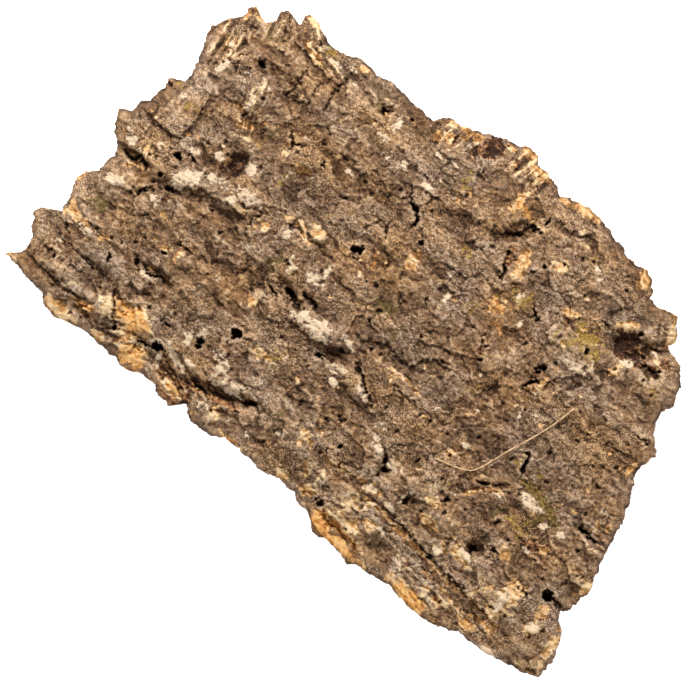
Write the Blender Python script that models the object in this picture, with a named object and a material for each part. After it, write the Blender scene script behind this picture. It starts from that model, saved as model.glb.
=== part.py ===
"""A slab of virgin cork-oak bark, lying outer side up, with a tuft of moss and a dry grass stem.

+X runs along the trunk, +Y across it and +Z out of the bark. The origin is the centre of the
box's bottom, so the slab's long edges rest at z = 0. Lengths below are in millimetres.
"""

import math

import bmesh
import bpy
import numpy as np
from mathutils import Vector, noise
from mathutils.bvhtree import BVHTree
from mathutils.geometry import delaunay_2d_cdt, interpolate_bezier

MM = 0.001

# Body of the slab
THICKNESS = 21.0
RIM_THICKNESS = 10.0
RIM_WIDTH = 16.0
LEAST_THICKNESS = 5.0
ARCH_RISE = 17.0
ARCH_HALF_SPAN = 105.0
ARCH_SINK = 4.5
INNER_SWELL = 0.9
OUTER_SWELL = 3.0
OUTER_GRAIN = 2.0

# Rings round the broken edge: how far each is pulled in towards the middle, as a share
UPPER_RING_PULL = 0.014
LOWER_RING_PULL = 0.022
MIDDLE_RING_LEVEL = 0.45

# Mesh
UPPER_STEP = 5.2
LOWER_STEP = 9.0
EDGE_CLEARANCE = 0.55
JITTER = 0.45

# Outline in plan, clockwise from the lower left tip
LEFT_END = [
    (-170, -96), (-164, -91), (-163, -88), (-164, -81), (-168, -77), (-169, -73), (-172, -72),
    (-170, -67), (-166, -66), (-161, -62), (-162, -53), (-165, -44), (-164, -39), (-158, -34),
    (-159, -28), (-157, -21), (-165, -15), (-168, -9), (-170, -4), (-164, -1), (-164, 5),
    (-160, 9), (-161, 16), (-159, 18), (-161, 23), (-158, 25), (-153, 27), (-153, 33),
    (-158, 48), (-161, 57), (-157, 61), (-156, 65), (-152, 71), (-152, 76), (-150, 79),
    (-144, 76), (-140, 75), (-138, 78), (-138, 84), (-136, 87), (-133, 87), (-127, 85),
]
UPPER_SIDE = [
    (-128, 90), (-126, 92), (-120, 92), (-117, 90), (-113, 89), (-110, 87), (-102, 87),
    (-96, 89), (-94, 91), (-84, 91), (-81, 90), (-72, 92), (-64, 91), (-59, 90), (-45, 90),
    (-41, 95), (-37, 97), (-31, 97), (-28, 99), (-24, 100), (-15, 104), (-7, 107), (-3, 107),
    (-1, 109), (3, 110), (7, 109), (10, 106), (19, 105), (24, 102), (28, 100), (31, 102),
    (37, 104), (43, 105), (53, 104), (62, 101), (70, 100), (76, 98), (85, 99), (90, 97),
    (93, 93), (95, 89), (100, 88), (109, 88), (110, 91), (113, 91), (116, 86), (119, 80),
    (118, 77), (121, 74), (128, 72), (133, 67),
]
RIGHT_END = [
    (135, 64), (135, 60), (138, 54), (135, 48), (136, 42), (139, 37), (145, 32), (147, 29),
    (144, 22), (145, 14), (150, 5), (154, -5), (157, -17), (157, -24), (160, -33), (164, -45),
    (162, -50), (161, -58), (158, -61), (161, -65), (166, -68), (169, -75), (171, -80),
    (171, -86), (172, -91), (170, -94), (164, -96),
]
LOWER_SIDE = [
    (150, -99), (138, -101), (126, -101), (121, -103), (113, -106), (104, -107), (90, -106),
    (85, -104), (76, -106), (66, -107), (62, -110), (58, -108), (44, -107), (38, -108),
    (34, -105), (31, -102), (22, -101), (18, -98), (5, -98), (0, -100), (-15, -99),
    (-26, -99), (-32, -102), (-40, -103), (-46, -103), (-49, -101), (-51, -97), (-56, -100),
    (-58, -104), (-66, -103), (-70, -100), (-79, -100), (-84, -103), (-90, -104), (-95, -102),
    (-110, -102), (-118, -102), (-126, -104), (-131, -106), (-141, -103), (-143, -100),
    (-153, -99),
]

# Ridges, plates and hollows of the outer side:
# (x, y, half length, half width, turn from +X in degrees, height)
RELIEF = [
    (-106, -5, 25, 7, 18, 3.5),    # pale ridge at the left
    (-122, 46, 10, 10, 0, 3.0),    # rounded boss
    (-146, 14, 10, 12, 0, 2.0),    # smooth grey plate
    (-24, -26, 19, 7, 8, 3.5),     # whitish ridge
    (8, -37, 13, 5, -20, 2.5),     # its pale continuation
    (-106, -62, 7, 6, 0, 3.0),     # knob beside the deep slot
    (92, -37, 15, 9, 42, 2.5),     # plate with a straight edge
    (85, 36, 14, 7, 12, 2.5),      # pinkish ridge
    (8, 78, 12, 14, 0, 2.0),       # upper middle plate
    (62, 84, 22, 12, 0, 2.0),      # upper right plate
    (45, 20, 26, 18, 0, 2.0),      # middle swell
    (60, -60, 26, 10, 0, 2.0),     # swell above the ledge
    (132, -66, 16, 12, 0, 2.0),
    (-60, 60, 30, 20, 10, 1.5),
    (103, 64, 11, 7, 15, -8.0),    # big hollow in the upper right
    (119, 60, 5, 3, 0, -4.0),
    (-10, -32, 9, 4, 38, -6.5),    # mouth-like hollow
    (14, -35, 9, 3, -28, -4.0),
    (-106, 11, 6, 7, 0, -5.0),     # brown hollow
    (-41, -82, 21, 4, 17, -5.5),   # long trench
    (-68, -89, 12, 7, 0, -5.0),    # rotten area
    (-82, -85, 6, 4, 15, -6.0),
    (-149, -18, 11, 3, 3, -7.0),   # notch from the left end
    (44, -61, 7, 4, 80, -5.5),
    (22, 73, 8, 5, 48, -4.5),
    (29, 56, 9, 3, -63, -5.5),
    (-45, -23, 10, 4, -18, -4.5),
    (98, -14, 8, 3, -72, -4.5),
    (-138, -73, 24, 4, -3, -3.0),  # long valley
    (75, 22, 9, 3, 88, -5.0),
    (105, -63, 5, 4, 0, -4.5),
    (-103, -57, 10, 3, 3, -4.0),
    (148, -59, 5, 4, 0, -6.0),
    (-34, 15, 4, 4, 0, -5.0),
    (-54, -54, 4, 4, 0, -5.0),
    (-66, -69, 4, 4, 0, -5.0),
    (8, -13, 18, 3, 2, -2.5),      # shadowed foot of the curved ledge
    (32, -9, 12, 5, 10, -3.0),
]

# The lip along the lower right: a step down from the main plate, told by points along its top
LEDGE = [(16, -74), (42, -74), (70, -78), (104, -83), (138, -86), (172, -90)]
LEDGE_DROP = 3.5
LEDGE_RUN = 3.0

# Moss: (x, y, half width) along the tuft
MOSS_SPINE = [
    (101, -21.5, 1.3), (106, -22.0, 2.4), (112, -23.2, 2.9), (118, -24.3, 3.0), (124, -26.5, 2.6),
    (128.5, -29, 1.2),
]
MOSS_HEIGHT = 3.0
MOSS_STEP = 2.0
MOSS_SIDES = 7

# Dry grass stem: points along it
STEM_POINTS = [(99.5, 22), (97, 11), (93, -1), (87, -16), (81.5, -30.5), (76, -36), (61, -40.7)]
STEM_DIAMETER = 1.0
STEM_STEP = 2.6
STEM_SPAN = 2.6

GAP = 0.35


def clear_scene():
    for obj in list(bpy.data.objects):
        bpy.data.objects.remove(obj, do_unlink=True)


def material(name, colour, roughness):
    made = bpy.data.materials.new(name)
    made.use_nodes = True
    shader = made.node_tree.nodes["Principled BSDF"]
    shader.inputs["Base Color"].default_value = (*colour, 1.0)
    shader.inputs["Roughness"].default_value = roughness
    shader.inputs["Metallic"].default_value = 0.0
    return made


def add_object(name, data, finish):
    obj = bpy.data.objects.new(name, data)
    data.materials.append(finish)
    bpy.context.scene.collection.objects.link(obj)
    return obj


def smoothstep(value):
    value = min(max(value, 0.0), 1.0)
    return value * value * (3.0 - 2.0 * value)


def edge_distance(points, ring):
    """How far each point lies from the ring, in plan."""
    points = np.asarray(points, float)[:, None, :]
    start = np.asarray(ring, float)[None, :, :]
    run = np.roll(start, -1, axis=1) - start
    share = ((points - start) * run).sum(axis=2) / (run * run).sum(axis=2)
    nearest = start + np.clip(share, 0.0, 1.0)[..., None] * run
    return np.sqrt(((points - nearest) ** 2).sum(axis=2).min(axis=1))


def inside(points, ring):
    """Which points lie inside the ring, by counting the edges to their right."""
    points = np.asarray(points, float)
    x, y = points[:, :1], points[:, 1:]
    ax, ay = np.asarray(ring, float).T
    bx, by = np.roll(ax, -1), np.roll(ay, -1)
    spans = (ay > y) != (by > y)
    rise = np.where(by == ay, 1.0, by - ay)
    crossing = x < (bx - ax) * (y - ay) / rise + ax
    return (spans & crossing).sum(axis=1) % 2 == 1


def pulled(ring, share):
    """The ring drawn in towards the middle."""
    return [(x * (1.0 - share), y * (1.0 - share)) for x, y in ring]


def grid_points(ring, step):
    """Slightly shaken triangular-grid points inside the ring and clear of it."""
    reach_x = max(abs(x) for x, _ in ring)
    reach_y = max(abs(y) for _, y in ring)
    row_step = step * math.sqrt(3.0) / 2.0
    rows = int(reach_y / row_step) + 1
    columns = int(reach_x / step) + 1
    found = []
    for row in range(-rows, rows + 1):
        for column in range(-columns, columns + 1):
            x = (column + 0.5 * (row % 2)) * step
            y = row * row_step
            shake = noise.cell_vector(Vector((column + 0.5, row + 0.5, step)))
            found.append((x + (shake.x - 0.5) * JITTER * step, y + (shake.y - 0.5) * JITTER * step))
    found = np.array(found)
    keep = inside(found, ring) & (edge_distance(found, ring) > EDGE_CLEARANCE * step)
    return [tuple(point) for point in found[keep]]


def inner_height(x, y):
    """The inner side: a shallow arch across the slab, worn flat where it meets the ground."""
    arch = ARCH_RISE * (1.0 - (y / ARCH_HALF_SPAN) ** 2) - ARCH_SINK
    swell = INNER_SWELL * noise.noise(Vector((x / 45.0, y / 18.0, 8.1)))
    return max(0.0, arch + swell)


def bump_height(x, y, bump):
    """One ridge or hollow: an elliptical mound that fades to nothing at its edge."""
    centre_x, centre_y, half_length, half_width, turn, height = bump
    angle = math.radians(turn)
    along = (x - centre_x) * math.cos(angle) + (y - centre_y) * math.sin(angle)
    across = (y - centre_y) * math.cos(angle) - (x - centre_x) * math.sin(angle)
    reach = math.hypot(along / half_length, across / half_width)
    return height * smoothstep(1.5 - reach) if reach < 1.5 else 0.0


def ledge_level(x):
    """Where the ledge runs at this x."""
    xs, ys = zip(*LEDGE)
    return float(np.interp(x, xs, ys))


def ledge_height(x, y):
    """The step down below the ledge, which dies out past its left end."""
    below = smoothstep((ledge_level(x) - y) / LEDGE_RUN)
    return -LEDGE_DROP * below * smoothstep((x - LEDGE[0][0]) / 20.0)


def outer_height(x, y, distance):
    """The weathered outer side: thinner towards the rim, ridged along the trunk, with its hollows."""
    rim = smoothstep(distance / RIM_WIDTH)
    thick = RIM_THICKNESS + (THICKNESS - RIM_THICKNESS) * rim
    swell = OUTER_SWELL * noise.noise(Vector((x / 38.0, y / 17.0, 0.4)))
    grain = OUTER_GRAIN * noise.fractal(Vector((x / 12.0, y / 8.0, 5.3)), 0.8, 2.1, 3)
    relief = sum(bump_height(x, y, bump) for bump in RELIEF) + ledge_height(x, y)
    low = inner_height(x, y)
    return max(low + thick + (swell + grain + relief) * (0.3 + 0.7 * rim), low + LEAST_THICKNESS)


def add_sheet(bm, ring_verts, ring, inner_points, heights, upward):
    """Fills a ring of existing vertices with triangles through the inner points."""
    inner_verts = [
        bm.verts.new((x * MM, y * MM, z * MM)) for (x, y), z in zip(inner_points, heights)
    ]
    verts = ring_verts + inner_verts
    coords = [Vector(point) for point in ring + inner_points]
    count = len(ring)
    borders = [(index, (index + 1) % count) for index in range(count)]
    placed, _, triangles, sources = delaunay_2d_cdt(coords, borders, [], 0, 1e-5, True)[:4]
    middles = [(placed[a] + placed[b] + placed[c]) / 3 for a, b, c in triangles]
    for triangle, within in zip(triangles, inside(middles, ring)):
        if not within:
            continue
        corners = [verts[sources[index][0]] for index in triangle]
        a, b, c = (Vector(corner.co.xy) for corner in corners)
        faces_up = (b - a).cross(c - a) > 0.0
        bm.faces.new(corners if faces_up == upward else corners[::-1])


def add_ring(bm, ring, heights):
    return [bm.verts.new((x * MM, y * MM, z * MM)) for (x, y), z in zip(ring, heights)]


def make_bark(finish):
    """One closed solid: the outer sheet, the inner sheet and the broken edge between them."""
    outline = LEFT_END + UPPER_SIDE + RIGHT_END + LOWER_SIDE
    upper_ring = pulled(outline, UPPER_RING_PULL)
    lower_ring = pulled(outline, LOWER_RING_PULL)
    upper_points = grid_points(upper_ring, UPPER_STEP)
    lower_points = grid_points(lower_ring, LOWER_STEP)
    upper_rim = [outer_height(x, y, 0.0) for x, y in upper_ring]
    lower_rim = [inner_height(x, y) for x, y in lower_ring]
    middle_rim = [
        low + (high - low) * MIDDLE_RING_LEVEL for low, high in zip(lower_rim, upper_rim)
    ]
    distances = edge_distance(upper_points, upper_ring)
    upper_heights = [outer_height(x, y, d) for (x, y), d in zip(upper_points, distances)]
    lower_heights = [inner_height(x, y) for x, y in lower_points]

    bm = bmesh.new()
    upper = add_ring(bm, upper_ring, upper_rim)
    middle = add_ring(bm, outline, middle_rim)
    lower = add_ring(bm, lower_ring, lower_rim)
    add_sheet(bm, upper, upper_ring, upper_points, upper_heights, True)
    add_sheet(bm, lower, lower_ring, lower_points, lower_heights, False)
    for high, low in ((upper, middle), (middle, lower)):
        for index in range(len(outline)):
            after = (index + 1) % len(outline)
            bm.faces.new((high[index], high[after], low[after], low[index]))
    bmesh.ops.triangulate(bm, faces=bm.faces[:])
    bmesh.ops.recalc_face_normals(bm, faces=bm.faces[:])
    mesh = bpy.data.meshes.new("bark")
    bm.to_mesh(mesh)
    bm.free()
    mesh.shade_smooth()
    mesh.set_sharp_from_angle(angle=math.radians(40.0))
    return add_object("bark", mesh, finish)


def surface_reader(obj):
    """A function giving the outer side's height in millimetres at a point in plan."""
    bm = bmesh.new()
    bm.from_mesh(obj.data)
    tree = BVHTree.FromBMesh(bm)
    bm.free()

    def height(x, y):
        hit = tree.ray_cast(Vector((x * MM, y * MM, 1.0)), Vector((0.0, 0.0, -1.0)))[0]
        return hit.z / MM

    return height


def highest_near(height, x, y, reach):
    """The highest point of the surface within reach, sampled on three rings."""
    samples = [height(x, y)]
    for share in (0.35, 0.7, 1.0):
        for turn in range(8):
            angle = turn * math.pi / 4.0
            samples.append(
                height(x + reach * share * math.cos(angle), y + reach * share * math.sin(angle))
            )
    return max(samples)


def resampled(points, step):
    """Points a step apart along a smooth curve through the given points."""
    points = [Vector(point) for point in points]
    ends = [points[0] * 2 - points[1]] + points + [points[-1] * 2 - points[-2]]
    found = [points[0]]
    for before, start, end, after in zip(ends, ends[1:], ends[2:], ends[3:]):
        count = max(2, round((end - start).length / step) + 1)
        handle_a = start + (end - before) / 6.0
        handle_b = end - (after - start) / 6.0
        found += interpolate_bezier(start, handle_a, handle_b, end, count)[1:]
    return found


def make_moss(height, finish):
    """A low closed cushion that follows the bark under it."""
    spine = resampled(MOSS_SPINE, MOSS_STEP)
    bm = bmesh.new()
    loops = []
    for index, point in enumerate(spine):
        before = spine[max(index - 1, 0)].xy
        after = spine[min(index + 1, len(spine) - 1)].xy
        along = (after - before).normalized()
        side = Vector((-along.y, along.x))
        half_width = point.z
        loop = []
        for top in (True, False):
            for corner in range(MOSS_SIDES):
                share = -1.0 + 2.0 * corner / (MOSS_SIDES - 1)
                share = share if top else -share
                x, y = point.xy + side * share * half_width
                ground = highest_near(height, x, y, 1.0) + GAP
                edge = 0.5 if top else 0.0
                crown = (MOSS_HEIGHT - 0.5) * (1.0 - share * share) if top else 0.0
                crown *= half_width / 3.0
                loop.append(bm.verts.new((x * MM, y * MM, (ground + edge + crown) * MM)))
        loops.append(loop)
    for first, second in zip(loops, loops[1:]):
        for index in range(len(first)):
            after = (index + 1) % len(first)
            bm.faces.new((first[index], first[after], second[after], second[index]))
    bm.faces.new(loops[0])
    bm.faces.new(loops[-1][::-1])
    bmesh.ops.triangulate(bm, faces=bm.faces[:])
    bmesh.ops.recalc_face_normals(bm, faces=bm.faces[:])
    mesh = bpy.data.meshes.new("moss_tuft")
    bm.to_mesh(mesh)
    bm.free()
    mesh.shade_smooth()
    return add_object("moss_tuft", mesh, finish)


def make_stem(height, finish):
    """A thin round stem lying over the high points of the bark."""
    radius = STEM_DIAMETER / 2.0
    route = resampled([(x, y, 0.0) for x, y in STEM_POINTS], STEM_STEP)
    levels = np.array([highest_near(height, p.x, p.y, STEM_SPAN) for p in route])
    padded = np.pad(levels, 1, mode="edge")
    levels = np.maximum(levels, (padded[:-2] + padded[2:]) / 2.0) + radius + GAP
    curve = bpy.data.curves.new("dry_grass_stem", "CURVE")
    curve.dimensions = "3D"
    curve.bevel_depth = radius * MM
    curve.bevel_resolution = 2
    curve.use_fill_caps = True
    spline = curve.splines.new("POLY")
    spline.points.add(len(route) - 1)
    for target, point, level in zip(spline.points, route, levels):
        target.co = (point.x * MM, point.y * MM, level * MM, 1.0)
    return add_object("dry_grass_stem", curve, finish)


def main():
    clear_scene()
    bark = make_bark(material("bark", (0.28, 0.165, 0.09), 0.9))
    height = surface_reader(bark)
    make_moss(height, material("moss", (0.155, 0.115, 0.02), 0.95))
    make_stem(height, material("dry_grass", (0.45, 0.30, 0.14), 0.7))


main()
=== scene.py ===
"""The looks of the piece of bark: its weathered relief, broken edge, lichens, moss and grass stem.

Plan coordinates and heights are in millimetres in the frame's axes until a mesh is made.
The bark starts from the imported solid: its outline, its arch and its thickness are read from the
frame, and the fine surface is built over them.
"""

import math

import bmesh
import bpy
import numpy as np
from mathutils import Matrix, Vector
from mathutils.bvhtree import BVHTree
from mathutils.geometry import delaunay_2d_cdt, interpolate_bezier


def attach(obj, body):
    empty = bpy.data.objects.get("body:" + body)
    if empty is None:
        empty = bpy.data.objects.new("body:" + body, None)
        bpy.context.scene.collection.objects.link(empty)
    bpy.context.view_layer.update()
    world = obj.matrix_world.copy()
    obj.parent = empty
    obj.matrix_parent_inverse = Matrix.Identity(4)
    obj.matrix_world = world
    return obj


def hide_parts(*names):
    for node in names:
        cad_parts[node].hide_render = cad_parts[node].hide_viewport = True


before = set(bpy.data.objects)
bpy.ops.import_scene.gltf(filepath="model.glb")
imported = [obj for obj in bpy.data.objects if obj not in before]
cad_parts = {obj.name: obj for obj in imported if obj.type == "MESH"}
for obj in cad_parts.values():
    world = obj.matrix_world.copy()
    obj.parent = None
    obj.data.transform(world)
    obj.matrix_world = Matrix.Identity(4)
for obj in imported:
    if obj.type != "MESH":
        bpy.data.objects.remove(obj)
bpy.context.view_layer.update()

MM = 0.001
GRID = 0.5
REACH_X, REACH_Y = 176.0, 114.0
TURN = math.radians(39.0)  # how far the camera is turned about the vertical

# ---------------------------------------------------------------- numpy helpers


def smoothstep(value):
    value = np.clip(value, 0.0, 1.0)
    return value * value * (3.0 - 2.0 * value)


def blur(field, sigma):
    """Gaussian blur of a grid, sigma in cells, edges repeated."""
    reach = max(1, int(3 * sigma))
    kernel = np.exp(-0.5 * (np.arange(-reach, reach + 1) / sigma) ** 2)
    kernel /= kernel.sum()
    for axis in (0, 1):
        pad = [(0, 0), (0, 0)]
        pad[axis] = (reach, reach)
        wide = np.pad(field, pad, mode="edge")
        length = field.shape[axis]
        field = sum(
            weight * np.take(wide, np.arange(k, k + length), axis=axis)
            for k, weight in enumerate(kernel)
        )
    return field


def gradient_noise(x, y, seed):
    """Perlin noise, about -1 to 1."""
    rng = np.random.default_rng(seed)
    table = rng.permutation(256)
    angle = rng.uniform(0.0, 2.0 * math.pi, 256)
    push_x, push_y = np.cos(angle), np.sin(angle)
    cell_x, cell_y = np.floor(x).astype(int), np.floor(y).astype(int)
    in_x, in_y = x - cell_x, y - cell_y
    ease_x = in_x**3 * (in_x * (in_x * 6 - 15) + 10)
    ease_y = in_y**3 * (in_y * (in_y * 6 - 15) + 10)

    def corner(a, b):
        pick = table[(table[(cell_x + a) & 255] + cell_y + b) & 255]
        return push_x[pick] * (in_x - a) + push_y[pick] * (in_y - b)

    low = corner(0, 0) * (1 - ease_x) + corner(1, 0) * ease_x
    high = corner(0, 1) * (1 - ease_x) + corner(1, 1) * ease_x
    return 1.5 * (low * (1 - ease_y) + high * ease_y)


def fractal(x, y, seed, octaves=4, gain=0.5):
    total, size, weight = 0.0, 1.0, 1.0
    for octave in range(octaves):
        total = total + weight * gradient_noise(x * size + 17.3 * octave, y * size, seed + octave)
        size *= 2.03
        weight *= gain
    return total


def ridged(x, y, seed, octaves=4, gain=0.5):
    """Sharp crests at 1, soft valleys towards 0."""
    total, size, weight, full = 0.0, 1.0, 1.0, 0.0
    for octave in range(octaves):
        crest = 1.0 - np.abs(gradient_noise(x * size + 9.1 * octave, y * size, seed + octave))
        total = total + weight * crest * crest
        full += weight
        size *= 2.1
        weight *= gain
    return total / full


def cells(x, y, seed):
    """Scattered points: distance to the nearest and the next, the nearest one's number and offset."""
    rng = np.random.default_rng(seed)
    table = rng.permutation(256)
    spot_x, spot_y, own = rng.uniform(0.0, 1.0, (3, 256))
    cell_x, cell_y = np.floor(x).astype(int), np.floor(y).astype(int)
    first = np.full(np.shape(x), 9.0)
    second = first.copy()
    number, off_x, off_y = np.zeros((3, *np.shape(x)))
    for a in (-1, 0, 1):
        for b in (-1, 0, 1):
            pick = table[(table[(cell_x + a) & 255] + cell_y + b) & 255]
            to_x, to_y = x - cell_x - a - spot_x[pick], y - cell_y - b - spot_y[pick]
            gap = np.hypot(to_x, to_y)
            closer = gap < first
            second = np.where(closer, first, np.minimum(second, gap))
            number = np.where(closer, own[pick], number)
            off_x, off_y = np.where(closer, to_x, off_x), np.where(closer, to_y, off_y)
            first = np.where(closer, gap, first)
    return first, second, number, off_x, off_y


def facets(x, y, seed, tilt, facing=0.0, swing=61.0):
    """Blocks of random height, tilted about the facing within the swing, and each block's number."""
    _, _, number, off_x, off_y = cells(x, y, seed)
    heading = facing + (number - 0.5) * swing
    slope = off_x * np.cos(heading) + off_y * np.sin(heading)
    return number - 0.5 + tilt * slope, number


def terraces(field, steps, riser):
    """Flat treads with short steep risers between them."""
    scaled = field * steps
    tread = np.floor(scaled)
    return (tread + smoothstep((scaled - tread - 1.0 + riser) / riser)) / steps


# ---------------------------------------------------------------- the frame's solid


def welded(node):
    bm = bmesh.new()
    bm.from_mesh(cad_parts[node].data)
    bmesh.ops.remove_doubles(bm, verts=bm.verts, dist=1e-6)
    bm.normal_update()
    bm.verts.index_update()
    return bm


def upper_patch(bm):
    """The faces that look upwards, joined edge to edge from the topmost one."""
    top = max(bm.faces, key=lambda face: face.calc_center_median().z)
    found, waiting = {top}, [top]
    while waiting:
        for edge in waiting.pop().edges:
            for face in edge.link_faces:
                if face.normal.z > 0.0 and face not in found:
                    found.add(face)
                    waiting.append(face)
    return found


def rim_loop(bm):
    """The solid's outline in plan, counter-clockwise: the border of its upward faces."""
    patch = upper_patch(bm)
    onward = {}
    for face in patch:
        for corner in face.loops:
            if not patch.issuperset(corner.edge.link_faces):
                onward[corner.vert.index] = corner.link_loop_next.vert
    start = max(onward.values(), key=lambda vert: vert.co.x)
    loop, vert = [start], onward[start.index]
    while vert is not start and len(loop) <= len(onward):
        loop.append(vert)
        vert = onward[vert.index]
    tree = BVHTree.FromBMesh(bm)
    points = []
    for vert in loop:
        outside = Vector((vert.co.x * 1.004, vert.co.y * 1.004, 1.0))
        if tree.ray_cast(outside, Vector((0, 0, -1)))[0] is None:
            points.append(vert.co.xy / MM)
    return np.array(points)


def read_heights(bm, step):
    """Outer and inner height of the solid on a coarse grid, spread a little past its outline."""
    tree = BVHTree.FromBMesh(bm)
    xs = np.arange(-REACH_X, REACH_X + step, step)
    ys = np.arange(-REACH_Y, REACH_Y + step, step)
    outer = np.full((len(ys), len(xs)), np.nan)
    inner = outer.copy()
    for j, y in enumerate(ys):
        for i, x in enumerate(xs):
            down = tree.ray_cast(Vector((x * MM, y * MM, 1.0)), Vector((0, 0, -1)))[0]
            up = tree.ray_cast(Vector((x * MM, y * MM, -1.0)), Vector((0, 0, 1)))[0]
            if down is not None and up is not None:
                outer[j, i], inner[j, i] = down.z / MM, up.z / MM
    return spread(outer), spread(inner)


def spread(field):
    """Fills the empty cells of a grid from their filled neighbours."""
    while np.isnan(field).any():
        wide = np.pad(field, 1, constant_values=np.nan)
        around = np.stack(
            [
                wide[1 + b : wide.shape[0] - 1 + b, 1 + a : wide.shape[1] - 1 + a]
                for a in (-1, 0, 1)
                for b in (-1, 0, 1)
            ]
        )
        known = ~np.isnan(around)
        mean = np.where(known, around, 0.0).sum(0) / np.maximum(known.sum(0), 1)
        field = np.where(np.isnan(field) & known.any(0), mean, field)
    return field


def sample(field, x, y, step):
    """Bilinear reading of a grid at points in plan."""
    u = np.clip((np.asarray(x) + REACH_X) / step, 0, field.shape[1] - 1.001)
    v = np.clip((np.asarray(y) + REACH_Y) / step, 0, field.shape[0] - 1.001)
    i, j = u.astype(int), v.astype(int)
    u, v = u - i, v - j
    low = field[j, i] * (1 - u) + field[j, i + 1] * u
    high = field[j + 1, i] * (1 - u) + field[j + 1, i + 1] * u
    return low * (1 - v) + high * v


def resampled_loop(points, step):
    """The loop with a point about every step, corners kept."""
    found = []
    for start, end in zip(points, np.roll(points, -1, axis=0)):
        count = max(1, round(float(np.hypot(*(end - start))) / step))
        for k in range(count):
            found.append(start + (end - start) * k / count)
    return np.array(found)


def pulled(points, share):
    """Points drawn in towards the middle, each by its own share."""
    return points * (1.0 - np.reshape(share, (-1, 1)))


def within(loop, xs, ys):
    """Which points of a grid lie inside a loop, one scan line at a time."""
    start, end = loop, np.roll(loop, -1, axis=0)
    found = np.zeros((len(ys), len(xs)), bool)
    for j, y in enumerate(ys):
        spans = (start[:, 1] > y) != (end[:, 1] > y)
        a, b = start[spans], end[spans]
        cuts = np.sort(a[:, 0] + (y - a[:, 1]) * (b[:, 0] - a[:, 0]) / (b[:, 1] - a[:, 1]))
        found[j] = np.searchsorted(cuts, xs) % 2 == 1
    return found


def edge_distance(mask, reach):
    """Distance in millimetres from each inside cell to the outside, up to reach."""
    limit = int(reach / GRID)
    run = np.full(mask.shape, float(limit))
    run[~mask] = 0.0
    for i in range(1, mask.shape[1]):
        run[:, i] = np.minimum(run[:, i], run[:, i - 1] + 1.0)
    for i in range(mask.shape[1] - 2, -1, -1):
        run[:, i] = np.minimum(run[:, i], run[:, i + 1] + 1.0)
    squared = run * run
    best = squared.copy()
    for shift in range(1, limit + 1):
        best[shift:] = np.minimum(best[shift:], squared[:-shift] + shift * shift)
        best[:-shift] = np.minimum(best[:-shift], squared[shift:] + shift * shift)
    return np.minimum(np.sqrt(best), limit) * GRID


solid = welded("bark")
COARSE = 4.0
base_outer, base_inner = read_heights(solid, COARSE)
base_outer = blur(base_outer, 1.7)
outline = rim_loop(solid)
solid.free()

xs = np.arange(-REACH_X, REACH_X + GRID / 2, GRID)
ys = np.arange(-REACH_Y, REACH_Y + GRID / 2, GRID)
X, Y = np.meshgrid(xs, ys)

# The listed shapes are drawn in shaken coordinates, so that their edges come out ragged
WARP_X = X + 0.75 * fractal(X / 4.6, Y / 4.6, 11, 4, 0.65)
WARP_Y = Y + 0.75 * fractal(X / 4.6, Y / 4.6, 31, 4, 0.65)

# Lines are shaken once more, cell by cell, so that they run in short broken steps
JAG_X = 1.7 * (cells(X / 2.2, Y / 2.2, 41)[2] - 0.5)
JAG_Y = 1.7 * (cells(X / 2.2, Y / 2.2, 43)[2] - 0.5)

# ---------------------------------------------------------------- the outline


def ragged_outline():
    """The solid's outline with fine broken raggedness, kept inside it."""
    loop = resampled_loop(outline, GRID * 1.1)
    rough = fractal(loop[:, 0] / 5, loop[:, 1] / 5, 51, 4, 0.62)
    notch = ridged(loop[:, 0] / 9, loop[:, 1] / 9, 57, 3) ** 3
    depth = np.clip(-0.3 + 0.8 * rough + 0.9 * notch, -1.1, None)
    radius = np.hypot(loop[:, 0], loop[:, 1])
    return pulled(loop, depth / radius)


middle_loop = ragged_outline()

# ---------------------------------------------------------------- features of the outer side

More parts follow.
